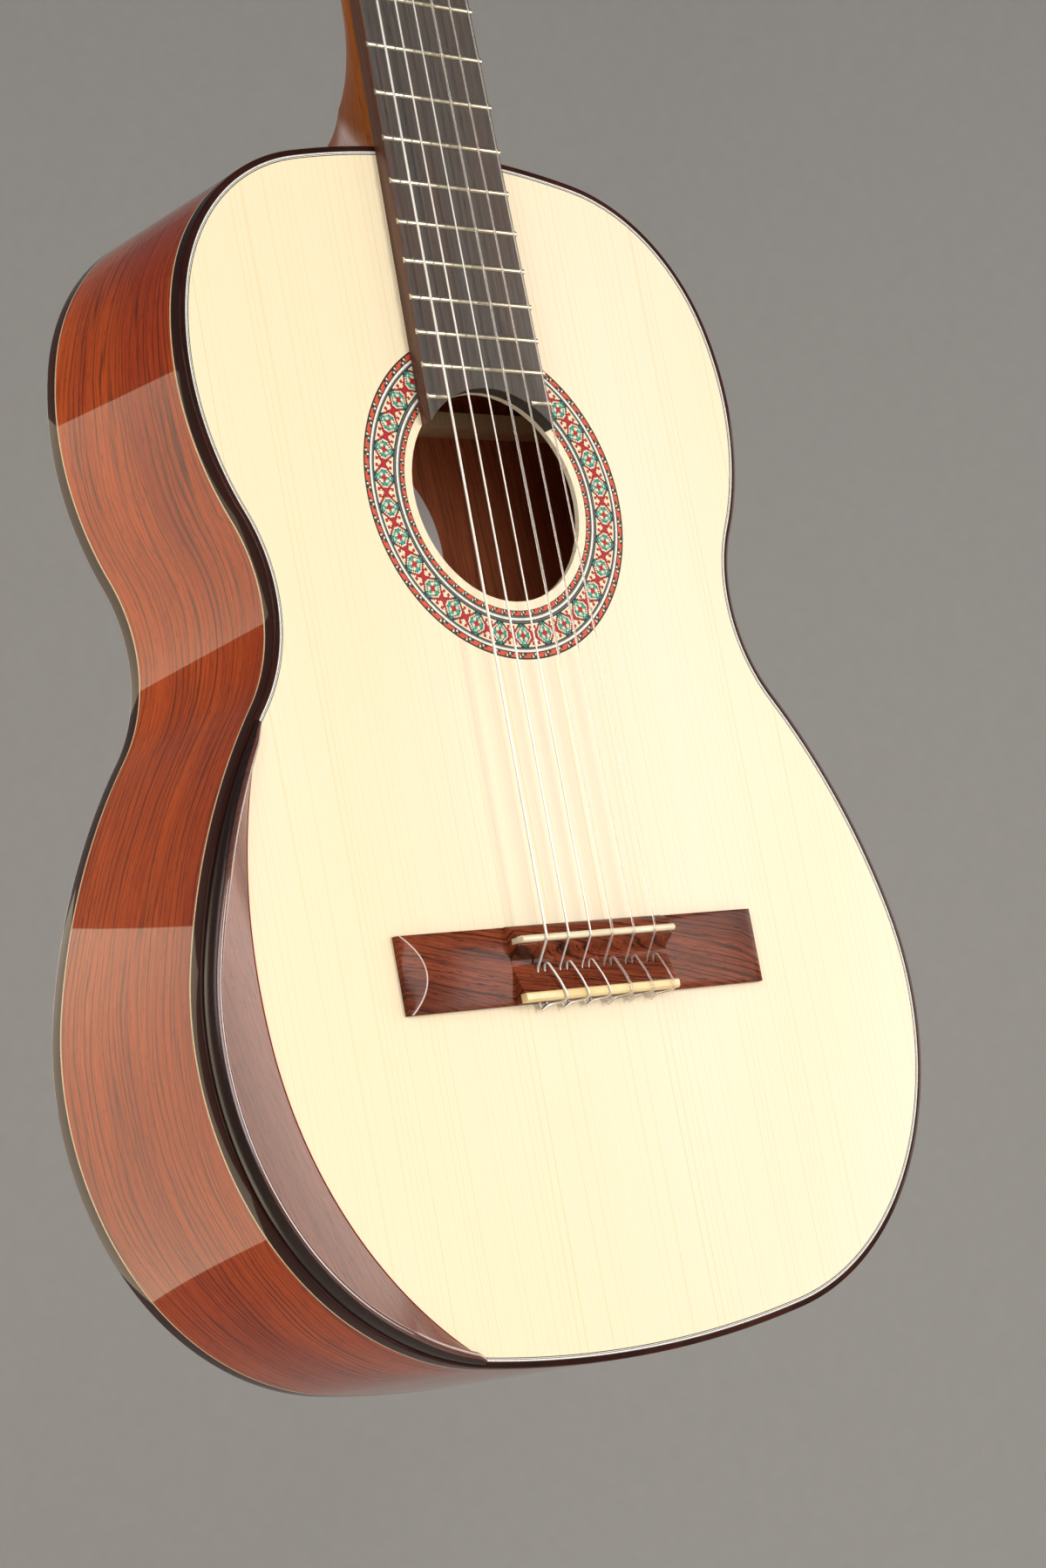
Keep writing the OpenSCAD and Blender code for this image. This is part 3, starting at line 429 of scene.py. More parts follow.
def ebony(name, pale, mid, deep, rough, coat):
    """Dark, close wood with soft streaks along the neck."""
    s = Shade(name)
    wide = s.noise(s.stretch((210, 210, 4)), 1, 4, 0.65)
    tint = s.noise(s.stretch((120, 120, 9)), 1, 2)
    fine = s.noise(s.stretch((1500, 1500, 24)), 1, 3)
    pores = s.range(s.noise(s.stretch((2200, 2200, 110)), 1, 1), 0.62, 0.7)
    shade = s.ramp(wide, [(0.32, mid), (0.5, pale), (0.66, mid)])
    shade = s.mix(s.range(tint, 0.5, 0.68, 0, 0.5), shade, srgb(84, 52, 40))
    shade = s.mix(s.range(fine, 0.4, 0.7, 0, 0.55), shade, deep)
    shade = s.mix(s.math("MULTIPLY", pores, 0.6), shade, tuple(c * 0.5 for c in deep))
    s.bump(s.math("SUBTRACT", fine, pores), 0.25, 0.0001)
    return s.finish(shade, s.range(fine, 0.3, 0.7, rough, rough + 0.12), Coat_Weight=coat,
                    Coat_Roughness=0.1)


def dyed(name, colour, rough=0.4, coat=0.2, gloss=0.5):
    """A small piece of dyed veneer, with fibre and uneven dye."""
    s = Shade(name)
    fibre = s.noise(s.stretch((900, 900, 900)), 1, 2)
    shade = s.mix(s.range(fibre, 0.3, 0.72), colour, tuple(c * 0.72 for c in colour))
    return s.finish(shade, rough, Coat_Weight=coat, Coat_Roughness=0.1, Specular_IOR_Level=gloss)


def paper(name):
    s = Shade(name)
    fibre = s.noise(s.where, 900, 3)
    blot = s.noise(s.where, 30, 3)
    shade = s.mix(s.range(blot, 0.3, 0.7), srgb(250, 248, 246), srgb(240, 236, 231))
    shade = s.mix(s.range(fibre, 0.5, 0.8, 0, 0.25), shade, srgb(196, 186, 168))
    s.bump(fibre, 0.2, 0.0001)
    return s.finish(shade, 0.85)


def nylon(name):
    s = Shade(name)
    cloud = s.noise(s.stretch((300, 300, 60)), 1, 2)
    shade = s.mix(cloud, srgb(250, 246, 238), srgb(240, 232, 224))
    return s.finish(shade, 0.14, Transmission_Weight=0.82, IOR=1.5)


def wound(name):
    """Silver-plated wire wound closely on its core, with painted shade darkening the grooves
    between the turns.
    """
    s = Shade(name)
    turns = s.node("TexWave", {"Vector": s.where, "Scale": 520.0, "Distortion": 0.4},
                   bands_direction="Z").outputs["Fac"]
    tone = s.noise(s.stretch((200, 200, 40)), 1, 2)
    shade = s.mix(s.range(tone, 0.3, 0.7), srgb(246, 243, 236), srgb(226, 221, 212))
    # The troughs between turns are mixed toward grey: painted shade.
    shade = s.mix(s.range(turns, 0.1, 0.5, 0.3, 0), shade, srgb(150, 140, 128))
    s.bump(turns, 0.4, 0.00003)
    return s.finish(shade, s.range(turns, 0, 1, 0.42, 0.34), Metallic=0.6)


RIB_WOOD = srgb(204, 84, 16), srgb(170, 57, 6), srgb(54, 12, 3)
MATS = {
    "spruce_top": spruce_face("spruce_top", srgb(246, 235, 213), srgb(242, 228, 193),
                              srgb(232, 198, 128)),
    "spruce": figured("spruce_bare", srgb(248, 228, 186), srgb(240, 212, 162),
                      srgb(204, 164, 110), (1, 0.3, 0), spacing=2.2, streak=0.4, fibre=0.3,
                      rough=0.6, coat=0, pore=0, sway=0.003),
    "rib": figured("rib_wood", *RIB_WOOD, (0, 1, 0.05), sway=0.011, coat_ior=1.3),
    "back": figured("back_wood", *RIB_WOOD, (1, 0, 0.04), sway=0.011, mirror=True, coat_ior=1.3),
    "back_in": figured("back_inside", srgb(214, 122, 76), srgb(184, 92, 54), srgb(98, 44, 24),
                       (1, 0, 0.04), spacing=4.0, streak=0.5, fibre=0.3, rough=0.6, coat=0,
                       pore=0.4, sway=0.011, mirror=True),
    "binding": figured("binding_wood", srgb(66, 30, 22), srgb(48, 20, 15), srgb(18, 8, 6),
                       (0, 1, 0), spacing=1.6, streak=0.6, fibre=0.4, rough=0.35, coat=0.7,
                       coat_rough=0.04, pore=0, sway=0.002, coat_ior=1.3),
    "bridge": figured("bridge_wood", srgb(146, 70, 42), srgb(88, 37, 23), srgb(20, 8, 5),
                      (0.2, 0.5, 1), spacing=2.6, streak=0.9, fibre=0.5, rough=0.36, coat=0.22,
                      coat_rough=0.16, pore=0.9, sway=0.006),
    # The pale colour of the bevel on the bridge's curved bass-end edge: a painted highlight.
    "painted_highlight_edge": dyed("painted_highlight_edge", srgb(206, 188, 178), 0.3),
    # The arm rest's nose: the slope's wood painted much darker, painted shade for the dark
    # surroundings it reflects.
    "rest_nose_painted_shade": figured("rest_nose", srgb(54, 28, 22), srgb(38, 19, 15), srgb(18, 9, 7),
                         (0, 1, 0.3), spacing=2.0, streak=0.5, fibre=0.4, rough=0.3, coat=0.8,
                         coat_rough=0.26, pore=0.3, sway=0.002),
    "rest_face": figured("rest_slope", srgb(142, 86, 70), srgb(114, 64, 50), srgb(58, 26, 20),
                         (1, 0.5, 0.3), spacing=4.2, streak=0.3, fibre=0.3, rough=0.45, coat=0.8,
                         coat_rough=0.22, pore=0.9, sway=0.006),
    "rest_ridge": figured("rest_ridge", srgb(120, 70, 56), srgb(92, 50, 40), srgb(50, 24, 18),
                          (0, 1, 0.3), spacing=3.0, streak=0.3, fibre=0.4, rough=0.4, coat=1.0,
                          coat_rough=0.15, pore=0.3, sway=0.004, coat_ior=1.9),
    "rest_edge": dyed("rest_edge", srgb(120, 10, 6), 0.6, coat=0.0, gloss=0.05),
    "cedar": figured("cedar_neck", srgb(158, 88, 31), srgb(130, 67, 20), srgb(78, 35, 10),
                     (1, 0.4, 0), spacing=3.0, streak=0.35, fibre=0.35, rough=0.5, coat=0.3,
                     coat_rough=0.34, pore=0.5, sway=0.004, coat_ior=1.3),
    "cedar_in": figured("cedar_inside", srgb(196, 122, 74), srgb(172, 100, 56),
                        srgb(112, 58, 30), (0, 1, 0.6), spacing=3.0, streak=0.35, fibre=0.35,
                        rough=0.65, coat=0, pore=0.3, sway=0.003),
    "veneer": figured("veneer_wood", srgb(112, 48, 30), srgb(82, 33, 21), srgb(28, 11, 7),
                      (1, 0.3, 0.1), spacing=2.6, streak=0.8, fibre=0.4, rough=0.35, coat=0.9,
                      coat_rough=0.05, pore=0.5, sway=0.006),
    "ebony": ebony("ebony", srgb(82, 75, 69), srgb(60, 54, 50), srgb(34, 29, 27), 0.42, 0.15),
    "board_side": ebony("board_side", srgb(98, 55, 33), srgb(76, 41, 24), srgb(42, 21, 12),
                        0.3, 0.35),
    "fret_wire": metal("fret_wire", srgb(214, 206, 184), 0.26),
    "gilt": metal("gilt_metal", srgb(222, 184, 104), 0.22, 0.12),
    "steel": metal("gear_steel", srgb(206, 186, 136), 0.3, 0.12),
    "bone": ivory("bone", srgb(243, 233, 206), srgb(226, 210, 172)),
    "bone_strip": ivory("bone_strip", srgb(244, 224, 170), srgb(228, 200, 140)),
    "roller": ivory("roller_bone", srgb(238, 232, 218), srgb(220, 212, 194), 0.4, 0.05),
    "pearl": pearl("pearl_button"),
    "paper": paper("label_paper"),
    "nylon": nylon("nylon_string"),
    "wound": wound("wound_string"),
    "white_line": dyed("white_line", srgb(250, 247, 238)),
    "grey_line": dyed("grey_line", srgb(96, 104, 98)),
    "black_line": dyed("black_line", srgb(26, 24, 22)),
    "cream_line": dyed("cream_line", srgb(232, 205, 160)),
    "red_tile": dyed("red_tile", srgb(184, 8, 16)),
    "orange_tile": dyed("orange_tile", srgb(224, 84, 50)),
    "teal_tile": dyed("teal_tile", srgb(48, 158, 142)),
    "pine_tile": dyed("pine_tile", srgb(20, 74, 66)),
    "cream_tile": dyed("cream_tile", srgb(246, 234, 200)),
    "wine_tile": dyed("wine_tile", srgb(128, 6, 16)),
    "mint_tile": dyed("mint_tile", srgb(146, 206, 186)),
}


# ---------------------------------------------------------------- building helpers
def place(obj, body, replaced=()):
    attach(obj, body)
    if replaced:
        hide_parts(*replaced)
    return obj


def build(name, verts, faces, mats, body, replaced=(), index=None, smooth=35.0):
    """A mesh piece from points in mm. index gives each face's material, as a place in mats."""
    mesh = new_mesh(name, verts, faces)
    for m in mats:
        mesh.materials.append(MATS[m])
    if index is not None:
        mesh.polygons.foreach_set("material_index", index)
    with editing(mesh) as bm:
        bmesh.ops.remove_doubles(bm, verts=bm.verts, dist=1e-4 * MM)
        bmesh.ops.dissolve_degenerate(bm, edges=bm.edges, dist=1e-8)
        bmesh.ops.recalc_face_normals(bm, faces=bm.faces)
    mesh.shade_smooth()
    mesh.set_sharp_from_angle(angle=math.radians(smooth))
    return place(add_object(name, mesh), body, replaced)


def loft(rings, closed=False, index=None):
    """Faces that join rings of points. index gives a material place for each step round a ring."""
    n = len(rings[0])
    verts = [p for ring in rings for p in ring]
    faces, marks = [], []
    for i in range(len(rings) if closed else len(rings) - 1):
        j = (i + 1) % len(rings)
        for k in range(n):
            k2 = (k + 1) % n
            faces.append((i * n + k, i * n + k2, j * n + k2, j * n + k))
            marks.append(index[k] if index else 0)
    if not closed:
        faces += [tuple(range(n))[::-1], tuple((len(rings) - 1) * n + k for k in range(n))]
        marks += [0, 0]
    return verts, faces, marks


def sweep(stations, profile):
    """Rings across the body's edge. profile is a list of (inset, depth) pairs, and a depth may be a
    function of x and z."""
    rings = []
    for x, z, nx, nz in stations:
        ring = []
        for inset, depth in profile:
            px, pz = x - nx * inset, z - nz * inset
            ring.append((px, depth(px, pz) if callable(depth) else depth, pz))
        rings.append(ring)
    return rings


def behind(inset):
    """A depth for sweep() that follows the arched back, a way inside it."""
    return lambda x, z: back_y(x, z, inset)


def carry(node, mat):
    """A CAD node that stays, with a better material."""
    data = NODES[node].data
    data.materials.clear()
    data.materials.append(MATS[mat])


def soften(node, mat, body, width):
    """A CAD node's shape again, with its edges rounded over."""
    mesh = NODES[node].data.copy()
    mesh.name = node + "_rounded"
    mesh.materials.clear()
    mesh.materials.append(MATS[mat])
    with editing(mesh) as bm:
        bmesh.ops.remove_doubles(bm, verts=bm.verts, dist=2e-6)
        bmesh.ops.dissolve_limit(bm, angle_limit=math.radians(0.4), verts=bm.verts,
                                 edges=bm.edges)
        for face in bm.faces:
            face.material_index = 0
            face.smooth = True
    obj = add_object(node + "_rounded", mesh)
    bevel = obj.modifiers.new("edges", "BEVEL")
    bevel.width, bevel.segments = width * MM, 2
    bevel.limit_method, bevel.angle_limit = "ANGLE", math.radians(28)
    bevel.miter_outer = "MITER_ARC"
    apply_modifiers(obj)
    return place(obj, body, (node,))


def tube(name, points, radius, mat, body, replaced=(), corner=1.2):
    """A round cord along points in mm, its corners rounded."""
    pts = [Vector(p) for p in points]
    path = [pts[0]]
    for a, p, b in zip(pts, pts[1:], pts[2:]):
        reach = min(corner, 0.45 * (p - a).length, 0.45 * (b - p).length)
        start, end = p + (a - p).normalized() * reach, p + (b - p).normalized() * reach
        for t in (0, 0.25, 0.5, 0.75, 1):
            path.append(start * (1 - t) ** 2 + p * 2 * t * (1 - t) + end * t * t)
    path.append(pts[-1])
    curve = bpy.data.curves.new(name, "CURVE")
    curve.dimensions = "3D"
    curve.bevel_depth = radius * MM
    curve.bevel_resolution = 3
    curve.use_fill_caps = True
    line = curve.splines.new("POLY")
    line.points.add(len(path) - 1)
    for point, p in zip(line.points, path):
        point.co = (*(p * MM), 1)
    curve.materials.append(MATS[mat])
    return place(add_object(name, curve), body, replaced)


# ---------------------------------------------------------------- the body
def edge_strip(name, stations, profile, mat, node):
    verts, faces, _ = loft(sweep(stations, profile), closed=True)
    build(name, verts, faces, [mat], "root", (node,))


def make_ribs():
    """Each rib runs from the strip at the tail to the neck, between the two side lines."""
    rows, skin = 10, BINDING + SIDE_LINE
    graft_reach, graft_half, neck_reach, last_half = 60, 11, 40, 9.5
    for side, name in ((1, "rib_treble"), (-1, "rib_bass")):
        covered = [s for s in half_outline(2.0)
                   if not (s[1] < TAIL + graft_reach and s[0] < graft_half)
                   and not (s[1] > BODY_TOP - neck_reach and s[0] < last_half)]
        rings = []
        for x, z, nx, nz in covered:
            y1 = back_y(x, z, skin)
            ring = [(side * x, skin + (y1 - skin) * k / rows, z) for k in range(rows + 1)]
            px, pz = x - nx * RIB, z - nz * RIB
            ring += [(side * px, back_y(px, pz, skin), pz), (side * px, skin, pz)]
            rings.append(ring)
        graft = [(side * (10 - 4 * y / (TAIL_DEPTH + 5)), y, max(z - 0.16, TAIL))
                 for _, y, z in rings[0]]
        last = [(side * 9.0, y, z + 0.1) for _, y, z in rings[-1]]
        verts, faces, _ = loft([graft] + rings + [last])
        build(name + "_bent", verts, faces, ["rib"], "root", (name,))
    carry("end_graft", "binding")


def make_bindings():
    stations, r = full_outline(2.0), 0.7
    arc = [(r * (1 - math.cos(a)), r * (1 - math.sin(a))) for a in np.linspace(0, math.pi / 2, 5)]
    edge_strip("binding_front_bent", stations, [(0, BINDING)] + arc + [(RIB, 0), (RIB, BINDING)],
               "binding", "binding_front")
    profile = [(0, behind(BINDING))] + [(inset, behind(depth)) for inset, depth in arc]
    profile += [(RIB, behind(0)), (RIB, behind(BINDING))]
    edge_strip("binding_back_bent", stations, profile, "binding", "binding_back")


def make_purfling():
    """The fine lines: round the soundboard, and between each binding and the ribs."""
    stations = full_outline(2.0)
    proud, deep = -0.02, 1.5
    lines = [(0.0, "black_line"), (0.3, "white_line"), (0.85, "black_line"), (1.1, "white_line"),
             (1.35, "black_line")]
    mats = ["black_line", "white_line"]
    profile = [(RIB + start, proud) for start, _ in lines]
    profile += [(RIB + PURFLING, proud), (RIB + PURFLING, deep), (RIB, deep)]
    marks = [mats.index(m) for _, m in lines] + [0, 0, 0]
    verts, faces, index = loft(sweep(stations, profile), closed=True, index=marks)
    build("purfling_top", verts, faces, mats, "root", ("purfling",), index)
    low, high = BINDING, BINDING + SIDE_LINE
    edge_strip("side_line_front", stations, [(0, high), (0, low), (RIB, low), (RIB, high)],
               "cream_line", "purfling")
    profile = [(0, behind(high)), (0, behind(low)), (RIB, behind(low)), (RIB, behind(high))]
    edge_strip("side_line_back", stations, profile, "cream_line", "purfling")


def make_back():
    half = [(x - nx * RIB, z - nz * RIB) for x, z, nx, nz in half_outline(3.0)]
    strip = 4.0
    rows = [(x, z) for x, z in half if x > strip + 0.4]
    cols = 22
    for side, name in ((1, "back_treble"), (-1, "back_bass")):
        rings = []
        for x, z in rows:
            xs = [strip + (x - strip) * k / cols for k in range(cols + 1)]
            ring = [(side * u, back_y(u, z), z) for u in xs]
            ring += [(side * u, back_y(u, z, BACK_PLATE), z) for u in reversed(xs)]
            rings.append(ring)
        verts, faces, index = loft(rings, index=[0] * (cols + 1) + [1] * cols + [0])
        build(name + "_plate", verts, faces, ["back", "back_in"], "root",
              (name,), index)
    outer, inner, core = 3.4, 1.6, 1.1
    rings = []
    for z in np.linspace(TAIL + RIB, BODY_TOP - RIB, 60):
        ring = [(u, back_y(u, z), z)
                for u in (-strip, -outer, -inner, -core, core, inner, outer, strip)]
        inside = back_y(strip, z, BACK_PLATE)
        ring += [(strip, inside, z), (-strip, inside, z)]
        rings.append(ring)
    marks = [1, 2, 1, 0, 1, 2, 1, 0, 0, 0]
    verts, faces, index = loft(rings, index=marks)
    build("back_strip", verts, faces, ["binding", "black_line", "cream_line"], "root",
          ("back_centre_strip",), index)


# ---------------------------------------------------------------- the rosette
ROSETTE_COLS = 540
TILE_ROWS, MOTIF_COLS = 14, 18
MOSAIC_INNER, MOSAIC_OUTER, ROSETTE_EDGE = 52.7, 62.1, 67.2


def mosaic_tile(col, row):
    """The veneer at one place of the mosaic: crosses and framed flowers by turns."""
    u = abs(col % MOTIF_COLS - (MOTIF_COLS - 1) / 2)
    v = abs(row - (TILE_ROWS - 1) / 2)
    w = MOTIF_COLS / 2 - u
    arm = abs(u - 1.05 * v)
    if arm < 0.7 and v < 4.6 and u + v > 1.5:
        return "wine_tile"
    if u + v < 2.8 or (arm < 2.2 - 0.25 * v and v < 5.0):
        return "red_tile"
    if arm < 0.9 and v >= 5.0:
        return "black_line"
    if 1.0 < u < 2.8 and 4.2 < v < 6.2:
        return "red_tile"
    if w + v < 2.6:
        return "red_tile"
    if (w < 1 and 2.2 < v < 4.2) or (v < 1 and 2.2 < w < 3.8):
        return "teal_tile"
    edge = w + 0.78 * v
    if 4.6 < edge < 5.8:
        return "pine_tile" if (col + row) % 3 == 0 else "teal_tile"
    if 3.9 < edge <= 4.6 and (col + row) % 2 == 0:
        return "mint_tile"
    return "cream_tile"


def rope_tile(col, row):
    turn = (col + 2 * row) % 9
    if turn < 5:
        return "orange_tile"
    return {5: "black_line", 6: "cream_tile", 7: "pine_tile", 8: "black_line"}[turn]


def make_rosette():
    """Bands from the hole outward, each with its inner radius and its veneer or pattern."""
    bands = [(47.1, "black_line"), (47.4, rope_tile), (48.25, rope_tile), (49.1, "black_line"),
             (49.55, "grey_line"), (50.2, "white_line"), (51.2, "black_line"), (51.6, "grey_line"),
             (52.2, "black_line")]
    tile = (MOSAIC_OUTER - MOSAIC_INNER) / TILE_ROWS
    bands += [(MOSAIC_INNER + k * tile, lambda c, r, k=k: mosaic_tile(c, k))
              for k in range(TILE_ROWS)]
    bands += [(MOSAIC_OUTER, "black_line"), (62.55, "grey_line"), (63.2, "white_line"),
              (64.2, "black_line"), (64.7, rope_tile), (65.6, rope_tile), (66.5, "black_line")]
    radii = [r for r, _ in bands] + [ROSETTE_EDGE]
    mats = ["black_line", "grey_line", "white_line", "orange_tile", "cream_tile", "red_tile",
            "wine_tile", "teal_tile", "mint_tile", "pine_tile"]
    verts, faces, index = [], [], []
    for depth, ring_radii in ((-0.012, radii), (1.2, [ROSETTE_EDGE, radii[0]])):
        for r in ring_radii:
            for c in range(ROSETTE_COLS):
                a = 2 * math.pi * c / ROSETTE_COLS
                verts.append((r * math.sin(a), depth, HOLE_Z - r * math.cos(a)))
    count = len(radii) + 2
    for i in range(count):
        j = (i + 1) % count
        band = bands[i][1] if i < len(bands) else "black_line"
        for c in range(ROSETTE_COLS):
            c2 = (c + 1) % ROSETTE_COLS
            faces.append((i * ROSETTE_COLS + c, i * ROSETTE_COLS + c2,
                          j * ROSETTE_COLS + c2, j * ROSETTE_COLS + c))
            index.append(mats.index(band if isinstance(band, str) else band(c, i)))
    build("rosette_mosaic", verts, faces, mats, "root", ("rosette",), index)


# ---------------------------------------------------------------- neck, fingerboard, frets
def blend(z, reach):
    return max(0.0, 1 + z / reach) ** 2


def neck_depth(z):
    """How deep the neck is: it grows to the heel, and swells into the head near the nut."""
    head = HEAD_THICK / math.cos(HEAD_TILT) - SHAFT_DEPTH
    return SHAFT_DEPTH - SHAFT_GROWTH * z / SHAFT_LENGTH + head * blend(z, HEAD_BLEND)


def u_ring(base, back, half, square):
    """A U round the neck: base and back are (y, z) pairs, and square sets how full it is."""
    ring, steps = [], 36
    for i in range(steps + 1):
        t = math.pi * i / steps
        c, s = math.cos(t), max(math.sin(t), 0.0)
        x = half * math.copysign(abs(c) ** (2 / square), c)
        s = s ** (2 / square)
        ring.append((x, base[0] + (back[0] - base[0]) * s, base[1] + (back[1] - base[1]) * s))
    return ring


def make_neck():
    cap_reach, cap_half, cap_thick = 20.0, 11.0, 3.0
    shaft_end = BODY_TOP + HEEL_LENGTH
    reach = HEEL_DEPTH - cap_thick
    rings = []
    for z in [*np.linspace(0, -HEAD_BLEND, 15), *np.linspace(-HEAD_BLEND, shaft_end, 24)[1:]]:
        rings.append(u_ring((0, z), (neck_depth(z), z), neck_half(z), 2.2 + 5 * blend(z, 30)))
    shaft_back = neck_depth(shaft_end)
    steps = 44
    for k in range(1, steps + 1):
        u = k / steps
        shaft_z = shaft_end - 2 * HEEL_LENGTH * u
        base = (0, shaft_z) if u < 0.5 else (reach * (2 * u - 1), BODY_TOP - 5)
        a = math.pi / 2 * u
        back = (shaft_back + (reach - shaft_back) * (1 - math.cos(a)),
                shaft_end - (HEEL_LENGTH - cap_reach) * math.sin(a))
        v = max(0.0, 2 * u - 1)
        half = neck_half(shaft_z) if u < 0.5 else cap_half + (BODY_HALF - cap_half) * (1 - v) ** 2.2
        rings.append(u_ring(base, back, half, 2.2))
    verts, faces, _ = loft(rings)
    obj = build("neck_carved", verts, faces, ["cedar"], "root", ("neck",), smooth=50)
    verts, faces, _ = loft([[(x, y, z) for x, z, _, _ in full_outline(3.0)] for y in (-2.0, 130.0)])
    mesh = new_mesh("cutter", verts, faces)
    with editing(mesh) as bm:
        bmesh.ops.recalc_face_normals(bm, faces=bm.faces)
    cutter = add_object("cutter", mesh)
    cut = obj.modifiers.new("fit_to_body", "BOOLEAN")
    cut.operation, cut.solver, cut.object = "DIFFERENCE", "EXACT", cutter
    apply_modifiers(obj)
    bpy.data.objects.remove(cutter)
    foot = []
    for z in (BODY_TOP - 26.0, BODY_TOP - RIB):
        y = back_y(BODY_HALF, z, BACK_PLATE)
        foot.append([(-BODY_HALF, 2.4, z), (BODY_HALF, 2.4, z), (BODY_HALF, y, z),
                     (-BODY_HALF, y, z)])
    verts, faces, _ = loft(foot)
    build("neck_foot", verts, faces, ["cedar_in"], "root", ("neck",))


def make_fingerboard():
    """A slab with its long edges eased and its end cut round the sound hole."""
    ease = 0.5
    spread = math.asin(neck_half(HOLE_Z + 30) / HOLE_RADIUS)
    arc = [(HOLE_RADIUS * math.sin(a), HOLE_Z + HOLE_RADIUS * math.cos(a))
           for a in np.linspace(spread, -spread, 41)]
    z_cut = arc[0][1]
    pts = [(-NUT_HALF, 0.0), (NUT_HALF, 0.0)]
    pts += [(neck_half(z), z) for z in np.linspace(0, z_cut, 30)[1:-1]]
    end = range(len(pts), len(pts) + len(arc) - 1)
    pts += arc
    pts += [(-neck_half(z), z) for z in np.linspace(z_cut, 0, 30)[1:-1]]
    rings = []
    for inset, y in ((ease, -BOARD), (ease * 0.3, -BOARD + ease * 0.3), (0.0, -BOARD + ease),
                     (0.0, 0.0)):
        ring = []
        for x, z in pts:
            on_side = abs(abs(x) - neck_half(z)) < 0.01
            ring.append((x - math.copysign(inset, x) if on_side else x, y, z))
        rings.append(ring)
    verts, faces, index = loft(rings)
    index = [1] * len(index)
    index[-2] = 0
    for band in range(len(rings) - 1):
        for k in end:
            index[band * len(pts) + k] = 0
    build("fingerboard_shaped", verts, faces, ["ebony", "board_side"], "root",
          ("fingerboard",), index, smooth=40)


def make_frets():
    verts, faces = [], []
    half_wide, tall, crown, past = 1.2, 1.1, 1.35, 0.12
    profile = [(-half_wide, -0.3), (-half_wide, 0.15)]
    profile += [(crown * math.sin(a), tall - crown + crown * math.cos(a))
                for a in np.radians(np.linspace(-60, 60, 13))]
    profile += [(half_wide, 0.15), (half_wide, -0.3)]

    def bar(z, x0, x1):
        stations = [(x0, 0.55), (x0 + 0.15, 0.8), (x0 + 0.55, 1.0),
                    (x1 - 0.55, 1.0), (x1 - 0.15, 0.8), (x1, 0.55)]
        rings = [[(x, -BOARD - (h * k if h > 0 else h), z + w) for w, h in profile]
                 for x, k in stations]
        v, f, _ = loft(rings)
        base = len(verts)
        verts.extend(v)
        faces.extend([tuple(base + i for i in face) for face in f])

    for n in range(1, 19):
        half = neck_half(fret_z(n)) + past
        bar(fret_z(n), -half, half)
    z = fret_z(19)
    half = neck_half(z) + past
    gap = max(math.sqrt(max(HOLE_RADIUS ** 2 - (z + w - HOLE_Z) ** 2, 0)) + 0.1
              for w in (-half_wide, half_wide))
    bar(z, gap, half)
    bar(z, -half, -gap)
    build("frets_crowned", verts, faces, ["fret_wire"], "root", ("frets",), smooth=50)


# ---------------------------------------------------------------- arm rest
def make_armrest():
    """A raised wedge on the bass edge: a rounded nose painted dark as painted shade, a polished
    ridge and a long slope.
    """
    low, peak, edge = 0.8, 6.8, 1.0
    top, heading = (-138.5, BODY_TOP - 237.5), 245.7
    arcs = [(231, 30.7), (169, 48.9)]
    outer = np.array([(-(x - nx * edge), z - nz * edge) for x, z, nx, nz in half_outline(0.8)])
    nose = 10
    rings = []
    for t in np.linspace(0, 1, 150):
        turned = t * (arcs[0][1] + arcs[1][1])
        first = min(turned, arcs[0][1])
        bend = walk(top, heading, (arcs[0][0], first), 1)
        inner = np.array(walk(bend, heading + first, (arcs[1][0], turned - first), 1))
        near = outer[np.argmin(((outer - inner) ** 2).sum(1))]
        width = float(np.linalg.norm(inner - near))
        across = (inner - near) / width
        tall = low + (peak - low) * min(1.0, width / 16) ** 0.8
        ridge = min(3.2, 0.9 * width)
        shape = [(0.0, 0.0)]
        for a in np.linspace(0, math.pi / 2, nose + 1)[:-1]:
            shape.append((ridge * (1 - math.cos(a)), tall * (0.3 + 0.7 * math.sin(a))))
        fall = math.atan2(tall - low, max(width - ridge, 0.2))
        crest = min(2.6, 0.3 * width)
        for k in range(5):
            b = fall * k / 4
            shape.append((ridge + crest * math.sin(b), tall - 0.02 - crest * (1 - math.cos(b))))
        strip = min(0.9, 0.1 * width)
        shape.append((width - strip, low + 0.04 + (strip - 0.2) * math.tan(fall)))
        shape.append((width, low - 0.12))
        shape.append((width, 0.0))
        rings.append([(near[0] + across[0] * d, -h, near[1] + across[1] * d) for d, h in shape])
    # Place 0 marks the nose, in its painted shade, and the underside; 3 the ridge, 1 the slope, 2
    # the red inner edge.
    marks = [0] * (nose - 2) + [3] * 7 + [1, 2, 2, 0]
    verts, faces, index = loft(rings, index=marks)
    build("armrest_shaped", verts, faces, ["rest_nose_painted_shade", "rest_face", "rest_edge", "rest_ridge"],
          "root", ("armrest",), index, smooth=32)


# ---------------------------------------------------------------- strings
def string_x(n, span):
    return span / 2 - span * (n - 1) / 5


def roller_w(n):
    """How far up the head a string's roller lies."""
    return 38 + 35 * (n - 1 if n < 4 else 6 - n)


def roller_start(n):
    """Where a string meets its roller: the reach from the axis and the angle."""
    g = GAUGES[n - 1] / 2
    reach = ROLLER_RADIUS + g + 0.08
    rise = NUT_HEIGHT + g
    c, s = math.cos(HEAD_TILT), math.sin(HEAD_TILT)
    dw = 2 * c - rise * s - roller_w(n)
    dn = rise * c + 2 * s - ROLLER_LEVEL
    return reach, math.atan2(dn, dw) - math.acos(reach / math.hypot(dw, dn))


def on_roller(n, x, reach, turn):
    return head_point(x, roller_w(n) + reach * math.cos(turn),
                      ROLLER_LEVEL + reach * math.sin(turn))


